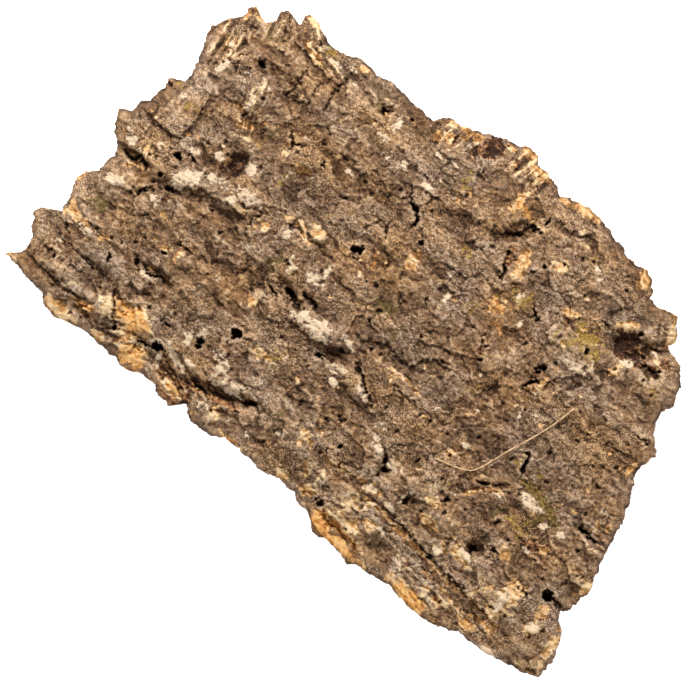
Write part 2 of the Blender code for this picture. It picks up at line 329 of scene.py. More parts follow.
# Ridges, plates and broad hollows: (x, y, half length, half width, turn, height)
MOUNDS = [
    (-106, -5, 25, 7, 18, 3.4), (-122, 46, 9, 9, 0, 3.2), (-146, 14, 9, 12, 0, 2),
    (-24, -26, 18, 6, 8, 3.2), (8, -37, 12, 4, -18, 2.6), (-106, -62, 6, 5, 0, 3),
    (92, -37, 14, 8, 42, 2.4), (85, 36, 13, 6, 12, 2.4), (8, 78, 12, 14, 0, 1.8), (62, 84, 22, 12, 0, 1.8),
    (45, 20, 26, 18, 0, 1.8), (60, -60, 26, 10, 0, 2), (132, -66, 16, 12, 0, 1.8),
    (-60, 60, 30, 20, 10, 1.4), (113, -29, 9, 4, -5, 2.2), (-134, -45, 8, 7, 0, 2),
    (-125, -66, 10, 6, 0, 1.4), (-75, -12, 9, 8, 0, 1.6), (-138, -14, 7, 5, 20, 2),
    (-150, -30, 10, 7, 15, 1.6), (-104, 70, 12, 9, 0, 1.6), (-78, 72, 10, 12, 0, 1.4),
    (-60, -62, 9, 7, 60, 1.6), (112, -50, 8, 8, 0, 2.2), (68, -52, 9, 7, 0, 1.8), (35, -58, 9, 8, 0, 1.6),
    (112, 48, 10, 9, 0, 1.6), (88, 84, 9, 9, 0, 1.8), (40, 90, 10, 7, 0, 1.6), (-30, 88, 10, 8, 0, 1.6),
    (155, -80, 10, 12, 0, 1.6), (-113, -86, 9, 6, 0, 1.6), (-97, -80, 11, 6, 0, 1.6),
    (103, 64, 11, 6.5, 15, -8.5), (119, 60, 5, 2.5, 0, -4), (-10, -32, 8, 3.6, 38, -2),
    (-106, 11, 5, 6, 0, -5), (-41, -82, 21, 3.5, 17, -4), (-68, -89, 11, 6, 0, -2.6),
    (-149, -18, 10, 2.5, 3, -6), (22, 73, 8, 4.5, 48, -4), (-45, -23, 9, 3.5, -18, -4),
    (-138, -73, 24, 3.5, -3, -1), (-114, -92.5, 4.5, 3.5, 0, 2.2), (-140, -84, 7, 3.5, 0, 1.6),
    (-155, -85, 4, 3.5, 0, 1.6), (-114, -86, 5, 4, 0, 1.8), (-106, -98.5, 5, 2.2, 0, 1.6),
    (-107, -72.5, 7, 4.5, 0, 1.8), (-132, -4, 5, 3, 0, -2), (-124, 4, 8, 3, 0, -1.8),
    (-133, 79, 5, 8, 0, -2), (-118, 84, 6, 5, -20, 1.4), (-144, 70, 4, 2.2, 10, -2.6),
    (-146, -41, 3, 3.5, 0, 1.6), (-97, -42, 4, 4, 0, 1.6), (-114, 9, 3.5, 3.5, 0, 1.8),
    (-129, 57, 4, 3, -40, -1.6), (-54, 9.5, 5, 3.2, -15, 1.6), (-61, 6.2, 5, 1.4, -28, 1.4),
    (-42, -8, 4.5, 4, 0, 1.3), (-62, -12, 2.6, 5, 0, -1.6), (-64, 47, 4, 2.4, 0, -2.2),
    (-67, 78, 3, 4, 0, -1.6), (38, 35, 6, 4, -20, 1.4), (-36, -19, 6, 2, -8, -2.4),
    (12, 95, 2.6, 3.6, 0, -1.6), (36, 96, 5, 5, 0, 1.2), (115, 84, 4, 7, 25, 1.6),
    (-62, -34, 4, 6, 20, -1.2), (-95, 62, 4, 5, 0, 1.4), (-117, 66, 6, 8, 0, 1),
    (105, -63, 4.5, 3.5, 0, -4), (8, -62.5, 3.4, 3.4, 0, -2), (12.5, 25, 2.6, 4.4, 0, -2.6),
    (-7, 4, 5, 4.5, 0, -2), (44.5, -60, 3.6, 5, 20, -4), (65, -64, 2.6, 4, 30, -3),
    (65, -93, 6, 3.6, 0, -1.6), (49, -101, 16, 5, -6, -1.8), (-89, -95, 7, 6, 0, 1.8),
    (-43, -96, 9, 6, 0, 1.4), (35, -56, 3, 7, -40, 1.6), (52, -56, 6, 2, -8, 1.4),
    (12, -37, 7, 3, -20, 1.6), (84, -34, 6, 3, 35, -2), (33, -9, 8, 2.5, 8, -1), (-103, -57, 10, 3, 3, -3),
    (-140, -50, 8, 4, -60, -2.5), (96, 28, 9, 6, 60, -1.8), (-98, -60, 6, 8, 0, -2.4),
    (-66, 20, 14, 8, 0, -1.2), (-152, -46, 8, 4, -45, -2.6), (116, 74, 6, 3, 30, -4),
    (78, -30, 9, 4, 0, -2.2), (-64, -26, 9, 5, -20, -2.6), (-78, 24, 5, 5, 0, -2.2),
    (-118, 58, 16, 4, 8, -1.4), (22, -84, 14, 5, 0, -0.8), (-70, -30, 16, 3, 12, -1.6),
]

# Deep holes: (x, y, half length, half width, turn, depth)
PITS = [
    (-54.5, -54.5, 3, 2.6, 0, 11), (-66, -68.5, 2.4, 2.1, 30, 10), (-65.4, -71.6, 1.7, 1.5, 0, 9),
    (-33.6, 15.8, 3.1, 2.5, 35, 11), (148.5, -58.5, 3.2, 2.8, 0, 9), (-128.6, 57.4, 3.4, 1.4, -40, 7),
    (-132, -4.2, 2.8, 1.7, 0, 8), (-133, -17, 1.8, 1.1, 20, 7), (-125.5, -19.6, 2.3, 1.7, 10, 8),
    (-127.3, -65, 1.5, 2.1, 0, 4), (-115.4, -57.6, 2.8, 1.4, -50, 6), (-81, -84.3, 4.2, 2.4, 15, 9),
    (-107.3, -46.2, 1.3, 0.9, 20, 6), (-149.5, -82.3, 1, 1.2, 0, 3), (21.5, -66, 1.2, 1.5, 0, 6),
    (11.5, -54.8, 1.1, 0.7, -20, 4), (44.3, 67.4, 1.4, 0.9, -30, 6), (51, 75, 0.8, 0.8, 0, 4),
    (87, 48, 1.2, 2.2, 20, 6), (102.6, 72.6, 1.3, 1.6, 20, 6), (79, -53, 1.6, 1.5, 0, 6),
    (104.5, -64, 2.6, 1.8, 10, 5), (-113, 84, 1.4, 1.8, 20, 5), (-144.5, 69.8, 2.6, 1, 0, 2),
    (-67, 78, 1.7, 2.2, 20, 6), (-52.8, 84, 1.2, 1, 0, 5), (31, -94.5, 2.4, 2, 0, 5),
    (-159, 21, 1.5, 1.3, 0, 5), (48, 11.3, 1, 0.8, 0, 5), (-5.8, -1.2, 1.4, 1.6, 0, 4),
    (-11.5, 38.5, 1.1, 1.5, 0, 5), (-136, -31, 1.4, 0.9, 50, 4), (55.5, -47, 0.7, 2.2, 0, 3),
    (2.5, -18.3, 1.4, 0.7, 20, 4), (-24.5, 50, 2.9, 1.8, -10, 6), (-20, 46, 1, 3, 5, 6),
    (-104, -91, 2, 1.2, 45, 6), (166, -93, 3, 1.2, 10, 4), (-84, -72.8, 2.4, 0.8, 15, 5),
    (-119.4, -46.4, 1.3, 0.7, -30, 3), (2.6, -28.5, 2, 1.6, 0, 2), (43, -57, 1.9, 2.6, 20, 9),
    (45.6, -61, 2.2, 1.5, -20, 6), (44.6, -64.6, 0.8, 1.4, 0, 3.5), (-9, -28.5, 2, 1.6, 20, 3),
    (-27, -77, 3, 1.3, 30, 3.5), (-80, -84, 2.4, 2.2, 0, 9), (-16.5, -37.5, 1.4, 1.2, 45, 5),
    (-54, -26.2, 3, 0.7, -14, 5), (-46, -21.5, 4, 1.1, -12, 3), (98.6, -15, 0.9, 3.6, 14, 6),
    (88, -35.2, 2.6, 1, 35, 6), (75.4, 28, 2.2, 1.6, -15, 8), (-92, 36.5, 0.9, 1.3, 15, 3),
    (148, -23, 3.4, 0.8, 0, 5), (141, -22.5, 3, 1, 5, 6), (105.2, -45.6, 1, 2.4, -10, 3),
    (121.5, 63.5, 1.6, 1.3, 0, 5), (-98, 57, 1, 0.8, 0, 3), (-30.5, 90, 0.8, 2.8, 5, 4),
    (64, -66.5, 1.8, 2, 40, 4), (-108, 62, 0.8, 1.2, 0, 3),
]

# Cracks: (width, depth, points)
CRACKS = [
    (2.6, 6, [(-158, -19), (-150, -19.5), (-145.5, -15.5), (-141, -18.5), (-139, -20)]),
    (1.6, 4, [(-57, -25.5), (-50, -27)]),
    (3, 6, [(75, 29.5), (73.5, 26), (74.5, 23), (75.5, 19.5), (74, 15.5), (73, 14)]),
    (3.2, 5, [(-51, -21), (-44, -22.5), (-40, -25), (-37, -26)]),
    (2, 4, [(-42, -17.5), (-36, -19), (-30, -20)]), (1.6, 4, [(-32, 58), (-30.5, 53.5), (-27, 51)]),
    (2.2, 6, [(-22, 50), (-20, 46.5), (-19.5, 41)]), (3, 8, [(26, 60), (28, 56), (30, 51.5), (31.5, 49)]),
    (2, 4, [(24, 64), (26, 60)]), (2.4, 4, [(23, 80), (28, 79.5), (34, 80.5)]),
    (3, 4, [(16, 66), (20, 70), (24, 73), (28, 74)]),
    (2.2, 6, [(51, 50), (54, 47.5), (57.5, 45.3), (59.5, 45)]),
    (1.6, 5, [(96, -7), (97.5, -12), (99, -17), (100.5, -20.5)]),
    (1.4, 4, [(86, -36), (91, -34), (95, -31), (98, -29)]),
    (1.8, 5, [(138, -22.5), (144, -22), (150, -22.5)]), (1.6, 4, [(131, 30), (137, 31.5), (143, 33)]),
    (1.4, 3, [(109, 15), (115.5, 15.5)]), (1.4, 4, [(-30, 35), (-27.5, 31), (-25, 27)]),
    (1, 3, [(-35, 34), (-33, 32)]), (1.6, 4, [(-18, 22), (-16, 17)]),
    (1.4, 4, [(7, 20), (9, 17), (10.8, 14.5)]), (1.2, 0.9, [(-2, 62.5), (-8, 59), (-15, 54.5)]),
    (1, 0.9, [(0, 63), (8, 64), (16, 65.5)]), (1.2, 4, [(-10, 88), (-10, 83)]),
    (1, 3, [(-5, -57.5), (-8, -63.5)]), (0.8, 2, [(-13, -57), (-13, -63)]),
    (1.2, 3, [(16, -70), (19.5, -74)]), (1, 3, [(-6.5, -2), (-7, -7), (-5, -10)]),
    (1.4, 4, [(-97, 43), (-95, 38), (-91, 36.5), (-86, 39)]), (1.6, 4, [(-92.5, 38), (-91, 33)]),
    (1.4, 3, [(-91, 84), (-91.5, 70), (-90.5, 55)]), (1, 3, [(-109.5, 72), (-109, 60), (-108.5, 50)]),
    (0.9, 2, [(-99, 72), (-99.5, 64), (-98.5, 57)]), (1, 2, [(-21.5, 60), (-20, 54)]),
    (2.4, 5, [(-28, 51), (-24, 50.5), (-22, 49)]), (3.4, 5, [(-51, -20.5), (-46, -21.5), (-41, -22.5)]),
    (1.4, 4, [(-75, 40), (-72, 36)]), (1, 2, [(-112, 54), (-107, 53.5), (-101, 55)]),
    (1, 2, [(-135, 34), (-128, 33), (-124, 35)]), (1.4, 4, [(-138, -31), (-133, -26)]),
    (1.4, 4, [(-105, -37), (-97, -37.5)]), (2, 6, [(-112, -57), (-107, -58.8), (-103, -57.2), (-94, -56)]),
    (1.8, 5, [(-116, -74), (-113, -79), (-107, -87), (-104, -91), (-108, -95)]),
    (1.2, 2, [(-160, -72), (-140, -73), (-117, -74)]), (1.2, 3, [(-158, -62), (-150, -70)]),
    (1.2, 2, [(-136, -91), (-125, -90)]), (2, 4, [(31.5, 90.5), (31.5, 86), (34, 82)]),
    (1.6, 3, [(82, 66.5), (88, 64), (94, 63)]), (1.2, 3.5, [(27, -33), (27.5, -38)]),
    (0.9, 2, [(16, -26.8), (28, -25.6), (40, -26.4), (52, -24.8)]),
    (2.6, 4, [(-22, -76.5), (-27, -77.5), (-31, -81)]), (2, 3, [(-40, -88.5), (-48, -88), (-58, -86.5)]),
    (2, 6, [(-79, -86), (-85, -86.5), (-90.5, -88.5)]), (2.2, 5, [(-128.5, 0.5), (-122, -1)]),
    (2, 5, [(1, -29), (8, -32), (13, -36), (19, -38.5), (20.5, -42)]), (2, 5, [(-17, -39), (-13, -36)]),
    (1.8, 4, [(44, -60.5), (49, -60.2)]), (0.9, 2.2, [(36, -50), (39, -53), (41, -57)]),
    (1.4, 4, [(61, -61), (64, -67)]), (1.8, 4, [(110, 60), (116, 60.6), (121, 63)]),
    (2, 5, [(150, -57.5), (154, -58.5), (158, -60.5)]), (1.6, 4, [(-37, 12), (-27, 12), (-25, 10)]),
    (1.2, 3, [(-33, 66), (-27, 64)]), (1.8, 4, [(99.5, -81.6), (107, -82.8), (116, -82.6)]),
    (1.1, 3, [(54, -76), (63, -77), (76, -78.4), (88, -80), (98, -81.4)]),
    (1, 3, [(115, -83), (126, -84.6), (138, -86.4)]), (1.6, 4, [(110, -57), (116, -57.5)]),
    (2.2, 4, [(111, 70), (115, 70.5), (119, 72)]), (1.8, 3, [(121, 69), (125, 68.5)]),
    (1, 0.9, [(106, -44), (107, -50), (105, -58)]), (1, 3, [(150.5, -45), (150, -53)]),
    (1, 2.5, [(136, -61), (140, -66), (141.5, -72)]), (1, 2, [(151, -43), (156, -40), (161, -40.5)]),
    (1.2, 3, [(42, 24), (43.5, 19), (46, 14)]), (1.2, 1.5, [(-2.5, 12), (0, 9), (2, 6)]),
    (0.9, 1.5, [(-42, 22), (-36, 16), (-31, 12)]), (1, 3, [(-81, 0), (-84, -6), (-83, -12)]),
    (1.2, 3, [(-142, -18), (-143, -12), (-139, -9)]), (1, 1.5, [(124, -40), (132, -46), (140, -48)]),
    (0.9, 2, [(-62, 45), (-70, 48), (-76, 42)]), (0.9, 1, [(-60, 55), (-56, 59), (-50, 61)]),
    (1.2, 3, [(-136, 46), (-140, 54), (-137, 58)]), (1, 1.5, [(61, -17.5), (67, -16), (70, -13.5)]),
]

# Ledges: the ground drops on the right-hand side of the line, and rises again within the reach:
# (drop, reach, points)
LEDGES = [
    (2.6, 9, [(-8, -18), (2, -14), (8, -11), (12, -12.5), (24, -13), (25, -6), (30, -3.5), (41, -1)]),
    (2.2, 30, [(45, -75.5), (56, -75), (68, -76.5), (88, -79), (104, -82), (140, -86)]),
    (1.6, 12, [(17, -74), (25, -74.5), (35, -72.5), (42, -71)]),
    (2.2, 7, [(12, -36), (18, -38.5), (20, -42)]), (2, 6, [(60, -61), (61.5, -64), (64, -68)]),
    (2, 7, [(33, -95), (45, -96), (56, -98), (66, -104)]),
    (2.2, 7, [(-78, -81.5), (-68, -80.5), (-60, -83), (-45, -82), (-33, -79)]),
    (1.6, 6, [(-55, -90), (-44, -90.5), (-33, -88)]), (2, 7, [(10, 29), (14, 29.5), (18, 29)]),
    (2.6, 8, [(101, -29), (95, -34), (88, -40), (82, -45), (79, -50)]),
    (1.4, 6, [(-163, -80), (-150, -80), (-146, -81), (-134, -79), (-116, -80)]),
    (1.5, 6, [(-162, -89), (-140, -90), (-130, -89), (-122, -88)]),
    (2.2, 8, [(-124, 77), (-112, 75.5), (-100, 73.5), (-91, 74.5)]),
    (2, 7, [(-110, 56), (-100, 55.5), (-92, 54.5)]), (1.8, 6, [(-128, 34.5), (-122, 35.5), (-118, 33)]),
    (1.6, 6, [(-141, 50), (-136, 52), (-130, 51)]),
    (2.2, 8, [(-138, 4), (-136.5, 12), (-137, 20), (-139, 28)]),
    (1.8, 7, [(-156, 3), (-148, 2), (-139, 3)]), (2, 7, [(-141, -30.5), (-136, -27.5), (-131, -24.5)]),
    (2, 7, [(-107, -36.5), (-101, -36.8), (-96, -37)]),
    (2.2, 6, [(-114, -74), (-108, -76.5), (-101, -75), (-99, -70)]),
    (2.6, 7, [(-119, -90.5), (-112, -90.5), (-106.5, -88), (-108, -84), (-111, -81)]),
    (2, 6, [(-128, -93.5), (-119, -93), (-116, -95)]),
    (2.2, 6, [(-112, -101), (-104, -99.5), (-100, -98), (-102, -95)]),
    (2, 6, [(-94, -100), (-90, -94), (-90, -88)]), (2, 9, [(81, 21), (83, 28), (89, 34.5), (97, 40)]),
    (2.2, 6, [(33, 90.5), (39, 90), (45, 90.2), (53, 95), (60, 91)]),
    (1.8, 6, [(2, 62.5), (10, 64), (18, 65.5)]), (2.2, 7, [(18, 66), (22, 71), (24, 78), (30, 80.5)]),
    (1.6, 6, [(-41, 64.5), (-37, 66), (-33, 65.5)]), (1.8, 6, [(-64, 81), (-63, 75), (-62, 69)]),
    (2, 8, [(-60, -17), (-60.5, -24), (-58, -28), (-50, -29)]),
    (1.8, 5, [(-69, 4), (-64, 6.3), (-57, 3.4)]), (1.6, 5, [(-59, 7), (-53, 5.4), (-48, 6.5)]),
    (2.8, 7, [(-112, -68), (-106, -68.5), (-102.5, -65), (-103.5, -60)]),
    (2.2, 9, [(-127, -18), (-120, -14), (-110, -9), (-100, -7.5), (-86, -7)]),
    (2, 7, [(-38, -33), (-20, -32.5), (-14, -29)]), (2, 8, [(46, 31), (52, 34), (60, 33)]),
    (1.8, 7, [(122, 20), (130, 20.5), (142, 22)]), (1.6, 8, [(-92, 84), (-74, 80), (-60, 84)]),
    (1.6, 7, [(20, 46), (36, 43), (42, 36)]), (1.8, 6, [(58, -3), (62, 8), (59, 16)]),
]

# Blots of finish: (x, y, half length, half width, turn, strength)

# Bare cork where the weathered skin has come off
TAN = [
    (-152, -59.5, 7.5, 2.6, 8, 0.7), (-157.5, -58, 1.8, 3.2, 20, 1), (-135, -59, 2.5, 1.8, 20, 1),
    (-111, -84, 7, 4.2, -12, 0.75), (-122, -91, 4.5, 2, 15, 1.2), (-97, -80, 10, 5, -10, 0.7),
    (-87.5, -96, 7.5, 6.5, 0, 1.3), (-97, -90, 6, 3.5, 30, 1), (-131, -101, 9, 3.5, -8, 1),
    (-107, -99, 6, 2.3, 8, 1.2), (-76.5, -4.5, 1.7, 2.2, -25, 1.4), (-102, -37.5, 1.5, 1.2, 0, 1.3),
    (-101, -43, 1.6, 3, 0, 1.3), (-109.5, -44.3, 2.4, 1.4, 25, 1.2), (-121, 40.5, 1.6, 6, 14, 1.3),
    (-147.5, 55, 2.2, 5, 18, 1.2), (-89, 88, 3, 2.2, 0, 1.1), (-146, 76.5, 5, 1.7, -10, 1),
    (-150, 72, 2, 4, 20, 0.55), (-121, 91, 6.5, 1.6, -5, 1), (-112, 78, 7, 2.2, -16, 0.9),
    (-33, 88, 3.5, 3, 20, 0.9), (-38, 85, 2.5, 2.5, 0, 0.8), (-37, 95, 3.5, 3, 0, 0.55),
    (14.5, 86, 2.6, 5, 0, 1), (20, 84, 3, 2.2, -30, 1), (4, 108, 5, 3, 0, 1), (-27, 97, 5, 2, 0, 0.9),
    (14, 103, 8, 3, 0, 0.8), (43, 103, 8, 2.6, 0, 1.1), (31, 100, 4, 2, -20, 1.1),
    (-41, 100, 3, 2.5, 0, 0.8), (37.5, 36, 5, 3.8, -25, 1.6), (44.5, 30, 3, 1.5, -25, 1.2),
    (-54.5, 9, 4.8, 3, -15, 1.6), (-60.5, 6, 4.2, 1.5, -32, 1.4), (-69, 7, 3.5, 1.3, 50, 0.9),
    (-58, -37, 2.4, 2.8, 20, 1.3), (-9, 29, 3.5, 5, 0, 0.9), (34, 60, 2.6, 7.5, 15, 1),
    (50, 72, 4, 3, -20, 0.7), (95, 70, 5.5, 3.5, 25, 0.9), (115, 67.5, 4.6, 2.4, -10, 1.4),
    (115, 85, 3, 6, 28, 1.7), (134, -70, 5.2, 9, 8, 1.9), (132.5, -79, 4, 7, 4, 1.9),
    (91.5, -74.5, 3.4, 3.4, 30, 1.8), (102, -69.5, 7, 2.8, -14, 1.7), (96, -66.5, 4, 1.2, -10, 1.2),
    (74.5, -57.5, 4, 3, 0, 0.9), (79, -67, 5.5, 2.4, 0, 0.9), (131.5, -42.5, 2.6, 2.6, 0, 0.8),
    (46, -72.5, 5, 2.6, 15, 1.8), (57, -87, 2.4, 4.2, 35, 1.7), (50.5, -94, 3.5, 4.5, 0, 1.2),
    (43, -86, 2.5, 5, 0, 0.8), (118, -55.5, 3.2, 4.4, 0, 1.3), (153, -75.5, 4, 4, 0, 1.6),
    (152, -67, 3.4, 4.4, 15, 1.3), (161.5, -45, 2.8, 4.6, 0, 1.2), (166, -78, 2.6, 9.5, 8, 1.2),
    (49, -104.5, 17, 2.8, -5, 1.8), (37, -100, 5, 5.5, 0, 1.7), (45, -97.5, 7, 2.6, -10, 1.2),
    (58, -99.5, 6, 1.6, -12, 1.1), (46, -83, 8, 3, 0, 0.55), (95, -102.5, 12, 3.4, -5, 1.9),
    (99, -95, 2.2, 4, 20, 1.3), (110, -95, 6, 2.2, 10, 0.9), (81, -90, 3, 1, 0, 0.8),
    (-23, -98.5, 6.5, 1.6, 0, 1.2), (8, -95.5, 3.4, 1.5, 0, 1.9), (6, -72.5, 5, 2.2, -20, 0.6),
    (4, -77, 1.6, 3, 20, 0.8), (22, -92, 3.4, 3.6, 0, 1.6), (23.5, -84, 1.6, 4.5, 5, 1.3),
    (16, -86, 4, 1.2, -40, 1), (-82, -103, 5.5, 2, 10, 1.4), (101, -104.5, 6, 2, 0, 1.6),
    (126, -96, 5, 2.5, 0, 1.1), (-147, -85, 3, 2, 0, 0.4), (150, -13.5, 1.8, 3, 0, 0.8),
    (145.5, -16, 1.6, 3, 0, 0.9), (-38, -93, 2.2, 3.4, 20, 1), (-64, -96.3, 5.6, 2, -4, 1.8),
    (-66, -80.6, 6, 0.8, 0, 1), (-62, -99.8, 4, 0.7, 4, 1.2), (-168, -96, 2, 1.2, 10, 1.3),
    (-164, -42, 1.6, 2.5, 0, 1), (-119, -32, 3.5, 1.3, 5, 0.9), (-79.5, 28.5, 3, 1.4, 15, 1),
    (-116, 28.5, 4.5, 2.2, 20, 0.7), (-109, 33, 1.2, 2.5, -35, 0.9), (121, 55, 2.5, 4, 0, 0.5),
    (104, 51, 2.5, 4, 0, 0.7), (69, 58, 4.5, 3.5, 0, 0.7), (87, 63, 2, 1.4, 0, 0.35),
    (131, 66, 3.5, 2, 0, 0.5), (141, 15, 2, 4, 0, 0.8), (60, -48.5, 4, 3, 0, 0.4),
    (68, -53, 4.5, 3, 20, 0.45), (-96, -76, 5, 3, -20, 0.65), (58, -74, 2.4, 1.6, 20, 1),
    (66, -34, 1.6, 3.4, 0, 0.9), (97, -33.5, 1.6, 1.6, 0, 0.8), (8, -66.5, 2.4, 0.9, 0, 0.9),
    (-79.5, 29.5, 4, 2, 5, 1.2), (-81, -4, 2, 2.2, 0, 0.5), (36, 62, 1.8, 6, 18, 1),
    (79.4, 24, 1.2, 5, -8, 1.1), (77.5, 21, 0.8, 1.6, 20, 1.2), (12.5, 85, 1.4, 5, 0, 1),
    (-22, 97, 3, 3, 0, 0.7), (-5, 104, 4, 2, 15, 0.7), (-28, 93, 2.5, 2.5, 0, 0.7),
    (-88, 90.5, 2, 1.5, 0, 1), (-67, 91.5, 3, 0.8, 0, 1.2), (-53, 90.8, 5, 0.7, 0, 1),
    (117, 80, 2.6, 5, 20, 1.6), (112, 90, 3, 1.8, -10, 1.6), (-35, -55, 2.6, 3, 0, 0.6),
    (-41, -55, 5, 2.6, -30, 0.6), (-146, -12, 1.3, 3, 15, 0.9), (-157, 5, 2, 1, 20, 0.7),
    (87, 95, 3, 5, 20, 0.8),
]

# Pale lichen crusts, crumbly at the edge
PALE = [
    (-121, -9, 7, 3.6, 35, 1.2), (-124, -15, 3.2, 2.4, -15, 1.7), (-108, -1, 9, 3.2, 12, 0.62),
    (-92, 2, 9, 3.6, 4, 0.66), (-100.5, 13, 3, 3, 0, 1.3), (-97, -5, 2.6, 2.2, 0, 1.7),
    (-155.5, -12, 2.4, 2.8, 30, 1.3), (-160.5, -9.5, 2, 1.6, 0, 1), (-148.5, -14.6, 2.2, 1.2, -20, 1.2),
    (-150, -33.5, 4.6, 2.4, 32, 1.3), (-127.5, -28, 3, 2, -25, 1.2), (-34, -27.5, 7, 2.8, 12, 0.9),
    (-23.5, -27.5, 6, 4.4, 10, 1.8), (-8.5, -23, 3.6, 1.3, -15, 1.5), (-2.2, -43, 2.6, 1.5, -15, 1.5),
    (-4, -37, 7, 2.6, 10, 0.6), (13, -38, 4.5, 1.6, -15, 1.2), (4, -34.5, 5.5, 3, 0, 0.4),
    (-38, -76, 4.5, 2.6, 10, 0.9), (-35, -71, 3, 3, 0, 0.4), (-42, -79.2, 9.5, 1.6, 8, 1.5),
    (-54, -69, 3.2, 2.2, 0, 1.2), (-49, -72.5, 3.6, 3.4, -30, 1.4), (-44, -76.5, 3.2, 2.4, -20, 0.6),
    (-67, -66, 2.4, 5.5, 25, 0.6), (-72, -71, 2.4, 4.5, 30, 0.8), (112.5, -28.2, 5.8, 2.2, -4, 0.9),
    (97, -34.5, 1.8, 1.5, 20, 1.1), (124.5, -32.6, 2.6, 1.5, 20, 1.1), (134, -31.5, 1.8, 1.5, 0, 1.1),
    (124.5, -47.5, 1.6, 0.8, 0, 1.3), (43.8, 47.6, 1.7, 2.6, 0, 1.4), (66, 83, 1.8, 1.4, -30, 1.3),
    (68.8, 80, 1.3, 0.9, 0, 1.1), (52.6, 37.6, 1, 2, 0, 1.2), (-32.2, 78, 1.9, 1.5, 20, 1.3),
    (-26, 62, 2.2, 1.7, 0, 1.1), (-41.8, 63, 2.2, 1.6, -10, 1.1), (-22.5, 79.5, 1.3, 0.9, 0, 1.2),
    (-57.5, 67, 3, 2.2, 0, 0.8), (-57.5, 76, 2, 4.4, 0, 1), (-46, 8, 1.2, 1.4, 0, 1.2),
    (107, 57, 2.6, 2.8, 0, 0.75), (33, 49.5, 1.6, 1.5, 0, 1), (116, 86, 2, 6, 28, 0.9),
    (-24, 69, 0.8, 1.2, 0, 1.1), (-13, 66, 0.7, 1.2, 0, 1), (-51, 61, 0.8, 1, 0, 1),
    (-53, -13.5, 2, 1.6, 0, 1), (-56, -10, 1.2, 0.8, 0, 1), (-100, 81.5, 4, 1, -5, 0.8),
    (-109.5, 84.5, 1.6, 1.6, 0, 1.1), (-91.5, 84, 1.4, 0.7, 0, 1.2), (80.5, -94, 2.6, 4, 10, 0.95),
    (-143.5, 45, 2.4, 4.2, 5, 1), (-149, 21, 1.6, 1, 0, 1), (-127.5, 3, 3, 2.2, 20, 0.8),
    (-116, 8.5, 3, 2, 30, 0.8), (-121, 51, 3, 2, -30, 0.65), (-41.5, -9, 3.6, 3.4, 0, 0.95),
    (-38, -4, 1.2, 4, 12, 1.4), (-44.5, -8, 2.2, 1.6, 0, 0.9), (-28, -49.5, 2, 2, 0, 0.9),
    (-32, -55, 2.6, 1.3, 10, 1.2), (-45, 45, 1.4, 0.8, 0, 0.8), (-58, 44.5, 1.2, 1, 0, 1.1),
    (-60, 43, 1.4, 0.7, 0, 1.1), (-89, 43, 1.6, 1.2, 0, 1.1), (-76, -17, 5.5, 2, 10, 0.6),
    (-57, -7, 1.8, 2.6, 0, 0.6), (-53, -13, 1.6, 2, 0, 1), (-65.5, 0, 2.6, 4, 0, 0.7),
    (-18, -91, 1.3, 1.1, 0, 1.2), (62, -65, 0.9, 3.6, -10, 1.2), (58.5, -74, 2.6, 1.4, -15, 1.2),
    (63.5, -86, 1.8, 1.4, 0, 1.2), (96, -67, 3, 1, -10, 0.9), (47, -19.5, 0.8, 1.4, 0, 1.1),
    (67, -52, 5, 3, 20, 0.5), (36, -54, 4.5, 2, -30, 1), (49, -57, 4, 1.6, 5, 1),
    (30, -45, 4.5, 2.5, 10, 0.7), (60, -50.5, 2, 1.4, 0, 0.4), (-145, -62, 4, 2, 0, 0.7),
    (-152, -73, 2, 2, 0, 0.8), (-107, -61, 3, 2.2, 0, 0.8), (85, 38, 8.5, 2.8, 6, 0.65),
    (112, -53, 1.6, 0.8, 0, 0.8), (16.2, 25, 0.7, 3.2, 4, 1.5), (5, 25, 0.6, 3, 25, 0.9),
    (10, 34, 0.9, 2.4, 0, 0.9), (-30, -91, 1.8, 2, 0, 0.8), (-45, -93.5, 1.8, 1.6, 0, 1.1),
    (-38.5, -92, 1.3, 1.6, 0, 0.8), (-6, -80, 2.2, 2, 0, 0.9), (145, 12, 1.5, 1, 0, 0.7),
    (80.5, 17, 0.9, 2.4, 0, 0.9), (80, 3, 0.9, 1.8, 0, 0.9), (87, 7, 1.6, 1.8, 0, 0.9),
    (145, -8, 1.8, 0.9, 0, 1), (63, -9, 1.3, 1.3, 0, 0.9), (69, -26, 2.6, 0.9, 0, 1),
    (79.5, -47, 0.8, 2.4, 0, 1), (115.5, 68, 3, 1.6, -10, 0.9), (53.5, 6, 2, 0.8, 0, 0.9),
    (106, 56, 2.6, 2.4, 0, 0.7), (115, 56, 1, 3, 10, 0.6), (158, -30, 3.5, 5, 0, 0.5),
    (145, -99.5, 12, 0.9, 3, 1.2), (27, -72, 2, 1.2, 0, 0.5), (22, -19, 2.2, 1.2, 0, 0.9),
    (-79, -39, 1.3, 1, 0, 0.9), (-142, -6, 1.3, 2, 30, 0.9), (-84, 22, 1, 1.5, 0, 0.7),
    (94, 43, 1.2, 2.2, 20, 1), (27, -92, 1.4, 1.1, 0, 0.8), (24, -86, 3, 6, 0, 0.55),
    (132, -94, 7, 3, 0, 0.5),
]

